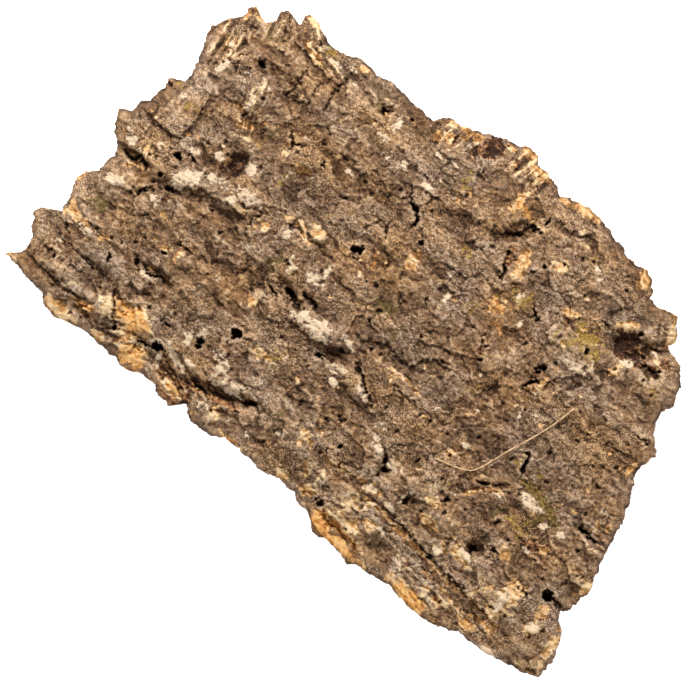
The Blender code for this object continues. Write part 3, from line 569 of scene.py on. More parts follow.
# Yellow lichen
YELLOW = [
    (83, 52, 7, 6, 20, 0.9), (90, 50, 3.5, 5.5, 20, 1.2), (78, 47, 3.5, 2.4, 0, 0.9),
    (70, 43.5, 1.3, 2.4, 0, 1.2), (76, 57, 4, 2.6, 0, 0.6), (47, 48, 3.5, 4.5, 0, 0.9),
    (40, 48, 2, 1.6, 0, 0.9), (-106, 84, 3.2, 1.8, 0, 1.1), (-106.3, 75.5, 1, 1.6, 0, 1.1),
    (-143.5, 18, 1.8, 1, 0, 1), (-140.5, 19.8, 2, 0.7, 10, 1), (-154.5, 23.5, 1.6, 1, 0, 0.8),
    (-12, 77, 1.8, 4, 30, 0.9), (-13, 72, 1.2, 3, 20, 0.8), (9, 48.5, 4, 2, 0, 0.8),
    (126, 52.5, 1.4, 1.8, 0, 1.1), (-31.5, -52.5, 2.2, 3.4, 0, 0.9), (113, -42, 7, 2.6, -15, 0.7),
    (95.5, -16, 1.8, 4.5, 0, 0.8), (107, -15, 4, 2, 0, 0.6), (-53, -15, 1, 1.4, 0, 1.1),
    (75, -47, 1.8, 3, 0, 0.6), (-105, 25.5, 1.2, 0.8, 0, 1), (-84, 18, 1.5, 3.5, 0, 0.6),
    (61, 86, 1, 3, 10, 0.9), (33, 42, 1.5, 1, 0, 0.6), (20, -52, 1.6, 1.2, 0, 0.6), (75, 44, 3, 2, 0, 0.7),
    (-55, 20, 4, 4, 0, 0.4), (28, 28, 3.5, 4, 0, 0.5), (55, -2, 3, 3, 0, 0.5),
]

# Green film and low moss
MOSSY = [
    (-5, 2.5, 5, 3.2, 10, 1.2), (-6, -2, 2.2, 2, 0, 1.1), (113, -22.8, 10, 2.2, -8, 0.9),
    (125, -27, 5, 2.6, -30, 0.9), (119.5, -34, 1.6, 4.5, -25, 1.1), (102, -42, 2.5, 3, 0, 0.6),
    (7.5, -7, 1, 4.5, 0, 0.8), (-12, -72, 2.2, 4.4, 20, 0.7), (65, -92, 5, 4.5, 0, 0.5),
    (-148, -47, 5, 3.5, -35, 0.8), (-103, 34, 3, 4.5, 0, 0.5), (-70, 80, 2.6, 5, 20, 0.6),
    (-134, 71, 6, 2, 0, 0.5), (-22, -10, 3, 2, 0, 0.4), (-62, -14, 2.4, 5, 0, 0.8), (90, -24, 4, 4, 0, 0.4),
]

# Brown rot; a strength over 1 makes it darker
ROT = [
    (-70, -87, 8, 4.5, 0, 0.55), (-60, -91, 9, 4, 10, 0.9), (-62, -101.8, 5.5, 2.2, 0, 1.1),
    (-54.5, -96, 2.2, 3.6, 20, 1.3), (-72, -93, 3, 4, 30, 1), (-13, 98, 5.5, 6.2, 12, 2.3),
    (-16, 93, 4, 3.2, 30, 2), (1.2, 98.2, 2, 3, 0, 1.5), (119, 61, 2.6, 2, 0, 1.3),
    (121.5, 68, 3, 2.6, 0, 0.7), (49, -100.6, 5.5, 0.8, -8, 0.5), (61, -103.5, 3, 0.6, -10, 0.6),
    (-10.5, -32, 4.4, 3.6, 30, 0.9), (103, 63, 9, 7, 0, 1.2), (-45, -86, 14, 2.6, 6, 1),
    (-27, -77, 3.5, 1.6, 30, 0.7), (36, -77, 8, 1.6, 0, 0.5), (75.5, 20, 3, 6, 0, 0.55),
    (60, -76.6, 17, 1.3, 0, 0.45), (70, 54, 2.6, 2, 0, 0.8), (-107, 11, 5, 6, 0, 0.75),
    (-124, -25, 1.6, 3, 0, 0.7), (28, 60, 2.5, 5, 20, 1.2), (97, -87, 7, 4, 0, 0.6),
    (150, -19, 6, 1.5, 0, 0.6), (125, -44, 4, 4, 0, 0.8),
]

# Lifted flakes of fresh cork over the rotten wood, and faces of bright fresh cork
FLAKES = [
    (-72, -83.2, 4.8, 1, -35, 1.5), (-67.5, -84.6, 3.4, 0.9, -30, 1.4), (-64, -85.6, 2.6, 0.9, -35, 1.4),
    (-77.6, -88.2, 1.6, 1.9, 30, 1.5), (-75.6, -91.5, 0.8, 2.2, 20, 0.6), (-83, -83, 3.4, 0.9, 50, 1.4),
    (-66, -80.8, 6, 0.8, 0, 1.2), (46, -72.5, 3.6, 2, 15, 1.9), (152.5, -75.5, 3.4, 2.8, 0, 1.5),
    (91.5, -75, 2.6, 2.4, 30, 1.8), (104, -68.5, 4.5, 1.5, -14, 1.5), (-42, -79.4, 8, 1.1, 8, 1.5),
    (132, -76, 2.4, 5, 6, 1.2), (-121, 40.5, 1.2, 5, 14, 1.2),
]
LIFT = 0.45  # slope of the flakes, which stand up at their lower edge

# The palest crusts, clean at the edge; a strength over 1 makes them lighter
CREAM = [
    (111.5, -27.6, 6.8, 2.3, -3, 0.85), (-2.2, -43, 2.7, 1.6, -15, 1.4), (124.5, -47.5, 1.6, 0.8, 0, 1.5),
    (-22, -27.5, 5, 3.2, -12, 1.9), (-8.5, -23, 3.6, 1.2, -15, 1.9), (-41.5, -9, 3, 2.4, 0, 1),
    (43.8, 47.6, 1.5, 2.4, 0, 1.4), (-100.5, 13, 2.4, 2.4, 0, 1.4), (-97, -5, 2, 1.8, 0, 1.5),
    (-124, -15, 2.6, 1.8, -15, 2), (-155.5, -12, 2, 2.2, 30, 1.4), (-150, -33.5, 3.6, 1.6, 32, 1.4),
    (-49, -72, 2.4, 2.2, -30, 1.4), (66, 83, 1.6, 1.1, -30, 1.8), (52.6, 37.6, 0.8, 1.6, 0, 1.3),
    (-32.2, 78, 1.6, 1.2, 20, 1.3), (80.3, 1.5, 0.8, 1.2, 0, 1.2), (133.5, -31, 1.8, 1.2, 0, 1.3),
    (125, -33.5, 1.8, 1.2, 30, 1.3), (145, -8, 1.6, 0.8, 0, 1.8), (-147.2, 56, 1.1, 3.2, 18, 1.3),
]

# Where bare cork is orange
FRESH = [
    (45, -102, 20, 7, -4, 1), (95, -103, 13, 5, -5, 1), (-88, -97, 9, 7, 0, 1), (-62, -96, 7, 3, 0, 1),
    (-99, -82, 13, 7, -10, 1), (-121, -92, 9, 4, 0, 1), (8, -96, 4, 2, 0, 1), (-23, -98.5, 7, 2, 0, 1),
    (-82, -103, 6, 3, 0, 1),
]

# Calm ground, where plates, crumbs and grain stand out less
SMOOTH = [
    (-146, 14, 9, 11, 0, 1), (-122, 48, 7, 7, 0, 0.8), (-139, -88, 18, 6, 0, 0.6), (8, 80, 10, 12, 0, 0.6),
    (32, 92, 9, 5, 0, 0.7), (92, -38, 12, 7, 42, 0.7), (-107, -64, 6, 4, 0, 0.7), (30, -30, 22, 9, 0, 0.5),
    (42, 74, 5, 6, 0, 0.7), (150, -86, 14, 6, 0, 0.6), (-64, -55, 4, 8, 30, 0.5), (14, 25, 3, 4, 0, 0.6),
]

# Zones of split laminae: (x, y, half length, half width, turn of the laminae, spacing, depth)
LAMINAE = [
    (-149, 62, 9, 20, -78, 2.6, 1.3), (-133, 78, 7, 10, -74, 2.2, 1.5), (-118, 83, 10, 9, -42, 2.4, 1.3),
    (-120, 42, 6, 12, -74, 2, 1.2), (-153, 42, 6, 14, -80, 3, 0.7), (-113, 31, 8, 5, -62, 2, 1.2),
    (-104, 78, 14, 4, -12, 2, 0.9), (-146, 14, 10, 12, 88, 2.2, 0.35), (-142, -85, 20, 8, 86, 2, 0.6),
    (-66, -92, 14, 8, -20, 2.2, 1.4), (9, 100, 14, 8, 80, 2.6, 1), (-30, 94, 14, 8, 76, 2.6, 1),
    (42, -99, 16, 7, 4, 2.2, 0.9), (96, -98, 18, 8, -4, 2.2, 0.8), (150, -96, 18, 5, 3, 1.8, 0.6),
    (113, 82, 7, 12, -62, 2.4, 1), (-98, -92, 14, 8, 20, 2.4, 0.9), (150, -22, 12, 8, -4, 2.4, 0.8),
]

# Thin lines of fresh cork along broken lips: (half width, points)
CORK_LINES = [
    (0.5, [(14, -73.5), (25, -74.6), (35, -72.6), (42, -71.2)]),
    (0.8, [(43, -79.5), (48, -78.3), (56, -78), (68, -79.4), (80, -81), (88, -82), (98, -83.6), (112, -84)]),
    (0.6, [(116, -83.6), (128, -85.4), (138, -86.6)]), (0.6, [(-69, -97.5), (-62, -97.2), (-55, -98)]),
    (0.5, [(-120, 52), (-121, 46), (-121.5, 40), (-119, 35)]), (0.5, [(82, -45), (88, -40), (94, -34)]),
    (0.5, [(20, -20), (21, -27)]), (0.5, [(16, -20), (26, -19), (36, -21)]),
    (0.5, [(118, -84), (121, -77), (124, -72)]), (0.4, [(124, -90), (131, -89), (138, -90)]),
    (0.4, [(104, -88), (112, -91), (122, -94)]), (0.5, [(-150, -23.5), (-146, -20.5), (-142, -21)]),
    (0.5, [(-100, -2), (-94, -6), (-88, -5)]), (0.4, [(24, 81.5), (34, 82)]),
    (0.4, [(-128, 35.5), (-120, 33.5)]), (0.5, [(60, -14), (64, -11)]), (0.4, [(-25, 20), (-22, 12)]),
]


LIPPED_DEPTH = 8.5  # pits deeper than this have a bleached lip
THINNEST = 3.5  # the least thickness of the slab
THINNEST_RIM = 3.0  # and of its broken edge
MIDDLE_TONE = 0.515  # the tone of level weathered bark


def window(reach_x, reach_y, margin):
    """The part of the grid that holds a shape, as slices."""
    left = max(int((min(reach_x) - margin + REACH_X) / GRID), 0)
    right = int((max(reach_x) + margin + REACH_X) / GRID) + 2
    low = max(int((min(reach_y) - margin + REACH_Y) / GRID), 0)
    high = int((max(reach_y) + margin + REACH_Y) / GRID) + 2
    return slice(low, high), slice(left, right)


def ellipse(shape, margin=1.6):
    """The window round an ellipse and, there, each point's distance from the middle, 1 at the edge."""
    x, y, half_length, half_width, turn = shape[:5]
    size = max(half_length, half_width) * margin + 3.0
    area = window((x - size, x + size), (y - size, y + size), 0.0)
    angle = math.radians(turn)
    to_x, to_y = WARP_X[area] - x, WARP_Y[area] - y
    along = to_x * math.cos(angle) + to_y * math.sin(angle)
    across = to_y * math.cos(angle) - to_x * math.sin(angle)
    return area, np.hypot(along / half_length, across / half_width)


def line(points, margin):
    """The window round a line and, there, the distance, the share along it and the side (+1 left)."""
    points = np.array(points, float)
    area = window(points[:, 0], points[:, 1], margin)
    x, y = WARP_X[area] + JAG_X[area], WARP_Y[area] + JAG_Y[area]
    runs = np.diff(points, axis=0)
    lengths = np.hypot(runs[:, 0], runs[:, 1])
    begun = np.concatenate([[0.0], np.cumsum(lengths)])
    best = np.full(x.shape, np.inf)
    share, side = np.zeros(x.shape), np.zeros(x.shape)
    for (px, py), (rx, ry), length, start in zip(points, runs, lengths, begun):
        part = np.clip(((x - px) * rx + (y - py) * ry) / length**2, 0.0, 1.0)
        dx, dy = x - px - part * rx, y - py - part * ry
        gap = np.hypot(dx, dy)
        closer = gap < best
        best = np.where(closer, gap, best)
        share = np.where(closer, (start + part * length) / begun[-1], share)
        side = np.where(closer, np.sign(rx * dy - ry * dx), side)
    return area, best, share, side


def raise_to(mask, area, value):
    """Brings part of a mask up to a value, and never down."""
    mask[area] = np.maximum(mask[area], value)


def blots(shapes, grain, soft=0.9):
    """A mask with the given ellipses, their edges soft over so many mm and broken up by the grain."""
    mask = np.zeros(X.shape)
    for shape in shapes:
        area, reach = ellipse(shape)
        half = min(shape[2], shape[3])
        inside = (1.0 - reach) * half + grain[area] * (0.7 + 0.45 * half)
        raise_to(mask, area, shape[5] * smoothstep(inside / soft + 0.5))
    return mask


def finish_masks():
    """Where each finish lies on the outer side, and the grain that breaks up its edges."""
    chips = cells(WARP_X / 2.6, WARP_Y / 2.0, 73)[2] - 0.5
    grain = 0.75 * fractal(X / 6.0, Y / 4.5, 71, 4, 0.62) + 0.7 * chips
    flaky = 0.9 * fractal(X / 4.0, Y / 4.0, 77, 5, 0.75)
    speckle = 1.7 * fractal(X / 2.6, Y / 2.6, 81, 3, 0.7) - 0.35
    tufted = 1.4 * fractal(X / 3.2, Y / 3.2, 87, 3, 0.7)
    flakes = np.minimum(blots(FLAKES, 0.7 * grain), 1.0)
    pale = np.maximum(blots(PALE, flaky, 2.2), blots(CREAM, 0.4 * grain))
    masks = {
        "tan": np.maximum(np.minimum(blots(TAN, grain), 1.0), flakes),
        "pale": np.maximum(pale, 1.6 * flakes),
        "yellow": np.minimum(blots(YELLOW, speckle), 1.0),
        "moss": np.minimum(blots(MOSSY, tufted), 1.0),
        "rot": blots(ROT, grain) * (1.0 - flakes),
    }
    return masks, grain


def rough_cork(calm):
    """Broken plates, terraces, crumbs and grain over the whole outer side, and the tone they give: each
    plate's own tone, with painted highlight where the relief stands high and painted shade in the grooves.
    """
    turn_x = X + 2.6 * fractal(X / 15, Y / 15, 101, 4, 0.6)
    turn_y = Y + 2.2 * fractal(X / 15, Y / 15, 107, 4, 0.6)
    plates, plate = facets(turn_x / 17, turn_y / 10, 111, 1.3)
    blocks, block = facets(turn_x / 6.5 + 4.4, turn_y / 4.4, 121, 1.3, -TURN, 4.2)
    crumbs, crumb = facets(WARP_X / 2.7 + 1.3, WARP_Y / 2.1, 151, 1.0)
    broad = fractal(turn_x / 27, turn_y / 13, 131, 4, 0.55)
    middle = fractal(WARP_X / 10, WARP_Y / 5.5, 135, 4, 0.6)
    grain = fractal(X / 2.0, Y / 1.6, 161, 3, 0.75)
    furrow = np.abs(fractal(turn_x / 9, turn_y / 5, 117, 4, 0.6))
    groove = smoothstep(1.0 - furrow / 0.06) * smoothstep(1.5 * fractal(X / 14, Y / 10, 119, 2) + 0.2)
    nearest, next_nearest = cells(turn_x / 17, turn_y / 10, 111)[:2]
    split = smoothstep(1.0 - (next_nearest - nearest) / 0.09)
    split *= smoothstep(fractal(X / 24, Y / 18, 115, 2) + 0.1)

    height = 0.95 * plates + 0.9 * terraces(broad, 2.0, 0.15) + 0.6 * broad
    height += calm * (0.58 * blocks + 0.42 * terraces(middle, 1.8, 0.18) + 0.16 * middle)
    height += calm * (0.20 * crumbs + 0.36 * grain) - 0.6 * groove - 1.3 * split
    tone = 0.09 * (plate + block + crumb - 1.5)
    # Painted light: the tone rises with the grain, middle and broad relief and falls in the grooves.
    tone += 0.11 * grain + 0.04 * middle + 0.09 * broad - 0.05 * groove
    return height, tone, crumb


def split_laminae(height, masks):
    """Thin leaves of cork on edge, the ones that stand out freshly broken."""
    for x, y, half_length, half_width, turn, spacing, depth in LAMINAE:
        area, reach = ellipse((x, y, half_length, half_width, 0))
        angle = math.radians(turn)
        along = X[area] * math.cos(angle) + Y[area] * math.sin(angle)
        across = WARP_Y[area] * math.cos(angle) - WARP_X[area] * math.sin(angle)
        leaves = fractal(along / (spacing * 9), across / spacing, 203, 3, 0.6)
        share = smoothstep(1.5 - reach)
        clear = share * min(1.0, depth)
        height[area] += depth * share * terraces(leaves, 2.2, 0.35)
        # Painted highlight and shade: the tone follows the leaves' height.
        masks["tone"][area] += 0.30 * clear * leaves
        raise_to(masks["tan"], area, 0.8 * clear * smoothstep((leaves - 0.42) / 0.25))


def bare_lips(tan):
    """Thin lines of fresh cork."""
    patchy = 0.4 + 0.6 * fractal(X / 5, Y / 5, 177, 2)
    for half_width, points in CORK_LINES:
        area, gap = line(points, half_width + 2.5)[:2]
        streak = smoothstep((half_width - gap) / 0.6 + 0.6 + patchy[area])
        raise_to(tan, area, streak * (gap < half_width + 1.5))


def raise_mounds(height):
    for shape in MOUNDS:
        area, reach = ellipse(shape)
        height[area] += shape[5] * smoothstep(1.5 - reach)


def lift_flakes(height):
    """Tilts the flakes so that their lower edge stands up."""
    for shape in FLAKES:
        area, reach = ellipse(shape)
        beyond = (X[area] - shape[0]) * math.sin(TURN) - (Y[area] - shape[1]) * math.cos(TURN)
        height[area] += LIFT * beyond * smoothstep(1.5 - reach)


def drop_ledges(height, dark):
    for drop, reach, points in LEDGES:
        area, gap, share, side = line(points, reach * 1.1)
        fade = smoothstep(1.0 - gap / reach) * smoothstep((0.5 - np.abs(share - 0.5)) * 8 + 0.35)
        height[area] -= drop * smoothstep(0.5 - side * gap / 0.9) * fade
        # Painted shadow at the foot of each ledge, on its low side.
        foot = smoothstep(1.0 - gap / 1.2) * (side < 0) * fade
        raise_to(dark, area, 0.3 * foot)


def cut_cracks(height, dark):
    wobble = 1.0 + 0.8 * fractal(X / 1.8, Y / 1.8, 171, 3, 0.7)
    for width, depth, points in CRACKS:
        area, gap, share, _ = line(points, width + 3.0)
        taper = np.clip(1.1 - np.abs(2 * share - 1) ** 2.5, 0.1, 1.0)
        half = np.clip(0.34 * width * taper * wobble[area] + 0.05, 0.2, None)
        cut = np.clip(1.25 - gap / half, 0.0, 1.0)
        shoulder = smoothstep(1.0 - gap / (width * 1.3 + 1.0))
        height[area] -= depth * taper * cut + 0.4 * shoulder
        # Painted shade in the cracks.
        raise_to(dark, area, 0.85 * cut**1.5 * min(1.0, depth / 5))


def sink_pits(height, masks):
    """The deep holes, each with a worn shoulder, and a bleached lip round the deepest."""
    ragged = 0.5 * fractal(X / 2.2, Y / 2.2, 173, 3, 0.7)
    for shape in PITS:
        depth = shape[5]
        area, reach = ellipse(shape, 1.8)
        reach = reach * 1.12 + ragged[area]
        cut = smoothstep((1.0 - reach) * min(shape[2], shape[3]) / 0.8 + 0.35)
        height[area] -= depth * cut + 0.5 * smoothstep(1.7 - reach)
        if depth > LIPPED_DEPTH:
            masks["tone"][area] += 0.22 * smoothstep(1.0 - np.abs(reach - 1.25) / 0.35)
        # Painted shade in the holes.
        raise_to(masks["dark"], area, cut * min(1.0, (depth / 7.5) ** 1.5))


def scatter_pinholes(height, masks):
    """Small holes in a few of many scattered cells."""
    first, _, number = cells(WARP_X / 7, WARP_Y / 7, 181)[:3]
    small = smoothstep((0.12 * (0.5 + number) - first) / 0.08) * (number > 0.88)
    height -= 1.8 * small
    # Painted shade in the pinholes.
    masks["dark"] = np.maximum(masks["dark"], 0.6 * small)


def roughen_coats(height, masks):
    """Fresh cork lies in a hollow, lichen crusts stand up, rotten wood is worn and stringy."""
    height += masks["tan"] * (0.4 * fractal(X / 3, Y / 1.4, 191, 3, 0.6) - 0.5)
    height += masks["pale"] * (0.35 + 0.14 * fractal(X / 1.6, Y / 1.6, 197, 2))
    height += np.minimum(masks["rot"], 1.0) * (1.1 * fractal(X / 3.6, Y / 2.6, 199, 3, 0.6) - 0.6)


def weathered_surface():
    """The outer side's height over the base, and the masks of its finishes, of its painted shade and of its
    tone, which holds painted light.
    """
    masks, grain = finish_masks()
    smooth = blur(blots(SMOOTH, grain), 1.2 / GRID)
    height, masks["tone"], crumb = rough_cork(1.0 - 0.6 * smooth)
    masks["dark"] = np.zeros(X.shape)
    loose = smoothstep((crumb - 0.955) / 0.02) * smoothstep(0.55 + fractal(X / 20, Y / 20, 175, 2))
    masks["tan"] = np.maximum(masks["tan"], 0.65 * loose)
    split_laminae(height, masks)
    bare_lips(masks["tan"])
    raise_mounds(height)
    lift_flakes(height)
    drop_ledges(height, masks["dark"])
    cut_cracks(height, masks["dark"])
    sink_pits(height, masks)
    scatter_pinholes(height, masks)
    roughen_coats(height, masks)
    return height, masks


def settled_on_base(relief):
    """The outer side's height over the floor: the relief fades towards the crumbling rim."""
    rim_distance = blur(edge_distance(within(middle_loop, xs, ys), 14.0), 1.0)
    rim = smoothstep(rim_distance / 10.0)
    crumble = 2.0 * (1.0 - smoothstep(rim_distance / 3.0)) * (0.6 + fractal(X / 5, Y / 5, 211, 3))
    height = sample(base_outer, X, Y, COARSE) + relief * (0.35 + 0.65 * rim)
    height -= np.clip(crumble, 0.0, 3.0)
    return np.maximum(height, sample(base_inner, X, Y, COARSE) + THINNEST)


def shade(masks):
    """Paints light and shade into the tone: lighter on raised parts and towards -Y, darker in hollows and
    towards the +Y edge; also adds warmth.
    """
    near = outer - blur(outer, 1.2 / GRID)
    broad = outer - blur(outer, 4.5 / GRID)
    # Painted light: lighter towards -Y and darker towards the +Y edge.
    slope = 0.035 * smoothstep((-Y - 35) / 40) + 0.03 * smoothstep((-Y - 72) / 15)
    slope -= 0.03 * smoothstep((Y - 78) / 15)
    masks["tone"] += MIDDLE_TONE + slope
    # Painted highlight on raised parts and painted shade in hollows.
    masks["tone"] += 0.20 * np.clip(near, -1.0, 1.0) + 0.08 * np.clip(broad, -2.0, 1.2)
    warm = np.clip(0.5 + 0.6 * fractal(X / 38, Y / 26, 261, 4, 0.6), 0.0, 1.0)
    masks["warm"] = np.maximum(warm * 0.9, blots(FRESH, np.zeros(X.shape), 4.0))


relief, masks = weathered_surface()
outer = settled_on_base(relief)
shade(masks)

# ---------------------------------------------------------------- the mesh

WALL_ROWS = 16
LOWER_STEP = 2.6
UPPER_PULL, LOWER_PULL = 0.009, 0.02
CORNERS = (0, 0), (0, 1), (1, 1), (1, 0)  # of a grid square, as steps along the rows and columns


def flare(points):
    """Extra pull on the upper rim where a broken face can be seen from above."""
    x, y = points[:, 0], points[:, 1]
    bottom = smoothstep((x - 24) / 12) * smoothstep((118 - x) / 14) * (y < -60)
    left = smoothstep((x + 150) / 12) * smoothstep((-70 - x) / 12) * (y < -60)
    corner = smoothstep((x - 106) / 5) * (y > 70) * (y < 95)
    return 0.045 * bottom + 0.028 * left + 0.03 * corner


def scattered(loop, step):
    """Evenly scattered points inside a loop."""
    grid_x = np.arange(-REACH_X, REACH_X, step)
    grid_y = np.arange(-REACH_Y, REACH_Y, step)
    inside = within(loop * 0.985, grid_x, grid_y)
    j, i = np.nonzero(inside)
    rng = np.random.default_rng(5)
    shake = rng.uniform(-0.25, 0.25, (2, len(i))) * step
    return np.column_stack([grid_x[i] + shake[0], grid_y[j] + shake[1]])


def fill(points, borders, keep):
    """Triangles over points in plan, with the borders as edges, where keep says so."""
    coords = [Vector(point) for point in points.tolist()]
    placed, _, faces, sources = delaunay_2d_cdt(coords, borders, [], 0, 1e-6, True)[:4]
    placed = np.array([point[:] for point in placed])
    faces = np.array([face[:3] for face in faces])
    first = np.array([source[0] if source else -1 for source in sources])
    faces = faces[keep(placed[faces].mean(axis=1))]
    faces = first[faces]
    return faces[(faces >= 0).all(axis=1)]


def in_loop(points, loop):
    """Which points lie inside a loop."""
    found = np.zeros(len(points), bool)
    start, end = loop, np.roll(loop, -1, axis=0)
    for k in range(0, len(points), 500):
        x, y = points[k : k + 500, :1], points[k : k + 500, 1:]
        spans = (start[:, 1] > y) != (end[:, 1] > y)
        rise = np.where(end[:, 1] == start[:, 1], 1.0, end[:, 1] - start[:, 1])
        cut = start[:, 0] + (y - start[:, 1]) * (end[:, 0] - start[:, 0]) / rise
        found[k : k + 500] = (spans & (x < cut)).sum(axis=1) % 2 == 1
    return found


def counter_clockwise(faces, points):
    a, b, c = (points[faces[:, k]] for k in range(3))
    area = (b[:, 0] - a[:, 0]) * (c[:, 1] - a[:, 1]) - (b[:, 1] - a[:, 1]) * (c[:, 0] - a[:, 0])
    return np.where((area < 0)[:, None], faces[:, ::-1], faces)


def upper_sheet(loop):
    """Grid squares inside the loop and a triangle band out to it: points, quads, triangles."""
    inside = within(loop, xs, ys)
    safe = inside.copy()
    for shift in ((0, 1), (0, -1), (1, 0), (-1, 0)):
        safe &= np.roll(inside, shift, (0, 1))
    square = safe[:-1, :-1] & safe[1:, :-1] & safe[:-1, 1:] & safe[1:, 1:]
    number = -np.ones(X.shape, int)
    used = np.zeros(X.shape, bool)
    j, i = np.nonzero(square)
    for b, a in CORNERS:
        used[j + b, i + a] = True
    number[used] = np.arange(used.sum()) + len(loop)
    quads = np.stack([number[j + b, i + a] for b, a in CORNERS], axis=1)
    points = np.vstack([loop, np.column_stack([X[used], Y[used]])])

    sides = np.vstack([quads[:, [k, (k + 1) % 4]] for k in range(4)])
    sides, uses = np.unique(np.sort(sides, axis=1), axis=0, return_counts=True)
    borders = sides[uses == 1]
    count = len(loop)
    ring = np.column_stack([np.arange(count), (np.arange(count) + 1) % count])
    chosen = np.unique(borders)
    local = -np.ones(len(points), int)
    local[:count] = np.arange(count)
    local[chosen] = np.arange(len(chosen)) + count
    band = np.concatenate([np.arange(count), chosen])

    def outside_squares(middles):
        jj = ((middles[:, 1] + REACH_Y) / GRID).astype(int)
        ii = ((middles[:, 0] + REACH_X) / GRID).astype(int)
        return in_loop(middles, loop) & ~square[jj, ii]

    edges = [tuple(edge) for edge in np.vstack([ring, local[borders]]).tolist()]
    faces = band[fill(points[band], edges, outside_squares)]
    return points, quads, counter_clockwise(faces, points)


def wall_points(upper, upper_z, lower, lower_z):
    """Rows of points between the upper and the lower rim, laid in uneven broken layers."""
    rows = []
    handle = 2.0 * middle_loop - 0.5 * (upper + lower)
    run = np.cumsum(np.hypot(*(middle_loop - np.roll(middle_loop, 1, axis=0)).T))
    radius = np.hypot(middle_loop[:, 0], middle_loop[:, 1])
    for row in range(1, WALL_ROWS):
        share = row / WALL_ROWS
        plan = (1 - share) ** 2 * upper + 2 * share * (1 - share) * handle + share**2 * lower
        z = upper_z * (1 - share) + lower_z * share
        layer = fractal(run / 26, z / 1.5, 221, 3, 0.6) + 0.5 * fractal(run / 4, z / 1.2, 227, 3, 0.6)
        layer += 0.6 * fractal(run / 2.2, z / 5, 233, 2, 0.6)
        depth = np.clip(0.15 + 0.75 * layer, -0.5, 2.4) * math.sin(math.pi * share) ** 0.5
        sag = 0.35 * fractal(run / 5, z / 3, 239, 2) * math.sin(math.pi * share)
        z = np.clip(z + sag, lower_z, upper_z)
        rows.append(np.column_stack([pulled(plan, depth / radius), z]))
    return rows


def build_bark():
    upper_loop = pulled(middle_loop, UPPER_PULL + flare(middle_loop))
    lower_loop = pulled(middle_loop, LOWER_PULL)
    top, quads, triangles = upper_sheet(upper_loop)
    top_z = sample(outer, top[:, 0], top[:, 1], GRID)
    count = len(upper_loop)
    bottom = np.vstack([lower_loop, scattered(lower_loop, LOWER_STEP)])
    bottom_z = np.maximum(sample(base_inner, bottom[:, 0], bottom[:, 1], COARSE), 0.0)
    bottom_rim_z = bottom_z[:count].copy()
    bottom_z[count:] += inner_relief(bottom[count:])
    top_z[:count] = np.maximum(top_z[:count], bottom_rim_z + THINNEST_RIM)
    rows = wall_points(upper_loop, top_z[:count], lower_loop, bottom_rim_z)

    ring = [(k, (k + 1) % count) for k in range(count)]
    under = fill(bottom, ring, lambda middles: in_loop(middles, lower_loop))
    under = counter_clockwise(under, bottom)[:, ::-1]

    wall_start = len(top)
    bottom_start = wall_start + count * (WALL_ROWS - 1)
    around = np.arange(count)
    after = (around + 1) % count
    walls = []
    for row in range(WALL_ROWS):
        high = around if row == 0 else wall_start + (row - 1) * count + around
        low = bottom_start + around if row == WALL_ROWS - 1 else wall_start + row * count + around
        high_after, low_after = high[after], low[after]
        walls.append(np.column_stack([high, low, low_after, high_after]))
    points = np.vstack(
        [np.column_stack([top, top_z]), *rows, np.column_stack([bottom, bottom_z])]
    )
    faces = {
        "quads": quads,
        "triangles": triangles,
        "walls": np.vstack(walls),
        "under": under + bottom_start,
    }
    return points, faces, (count, wall_start, bottom_start)


def inner_relief(points):
    """The inner side: fine ribs along the trunk and shallow dimples, only ever upwards."""
    x, y = points[:, 0], points[:, 1]
    ribs = 0.35 * ridged(x / 60, y / 3.2, 251, 3)
    dimples = 0.5 * smoothstep(fractal(x / 9, y / 5, 257, 3))
    return ribs + dimples


def make_mesh(name, points, polygons, attributes, uv=None):
    """A mesh of triangles and squares, with colour attributes on its points."""
    mesh = bpy.data.meshes.new(name)
    sizes = np.concatenate([np.full(len(p), p.shape[1]) for p in polygons])
    corners = np.concatenate([p.reshape(-1) for p in polygons]).astype(np.int32)
    mesh.vertices.add(len(points))
    mesh.vertices.foreach_set("co", (points * MM).astype(np.float32).reshape(-1))
    mesh.loops.add(len(corners))
    mesh.loops.foreach_set("vertex_index", corners)
    mesh.polygons.add(len(sizes))
    starts = np.concatenate([[0], np.cumsum(sizes)[:-1]]).astype(np.int32)
    mesh.polygons.foreach_set("loop_start", starts)
    mesh.update(calc_edges=True)
    mesh.validate()
    mesh.shade_smooth()
    for label, colours in attributes.items():
        layer = mesh.attributes.new(label, "FLOAT_COLOR", "POINT")
        rgba = np.column_stack([colours, np.ones(len(colours))]).astype(np.float32)
        layer.data.foreach_set("color", rgba.reshape(-1))
    if uv is not None:
        layer = mesh.uv_layers.new(name="OFBake")
        layer.data.foreach_set("uv", uv.astype(np.float32).reshape(-1))
    return mesh


# ---------------------------------------------------------------- materials


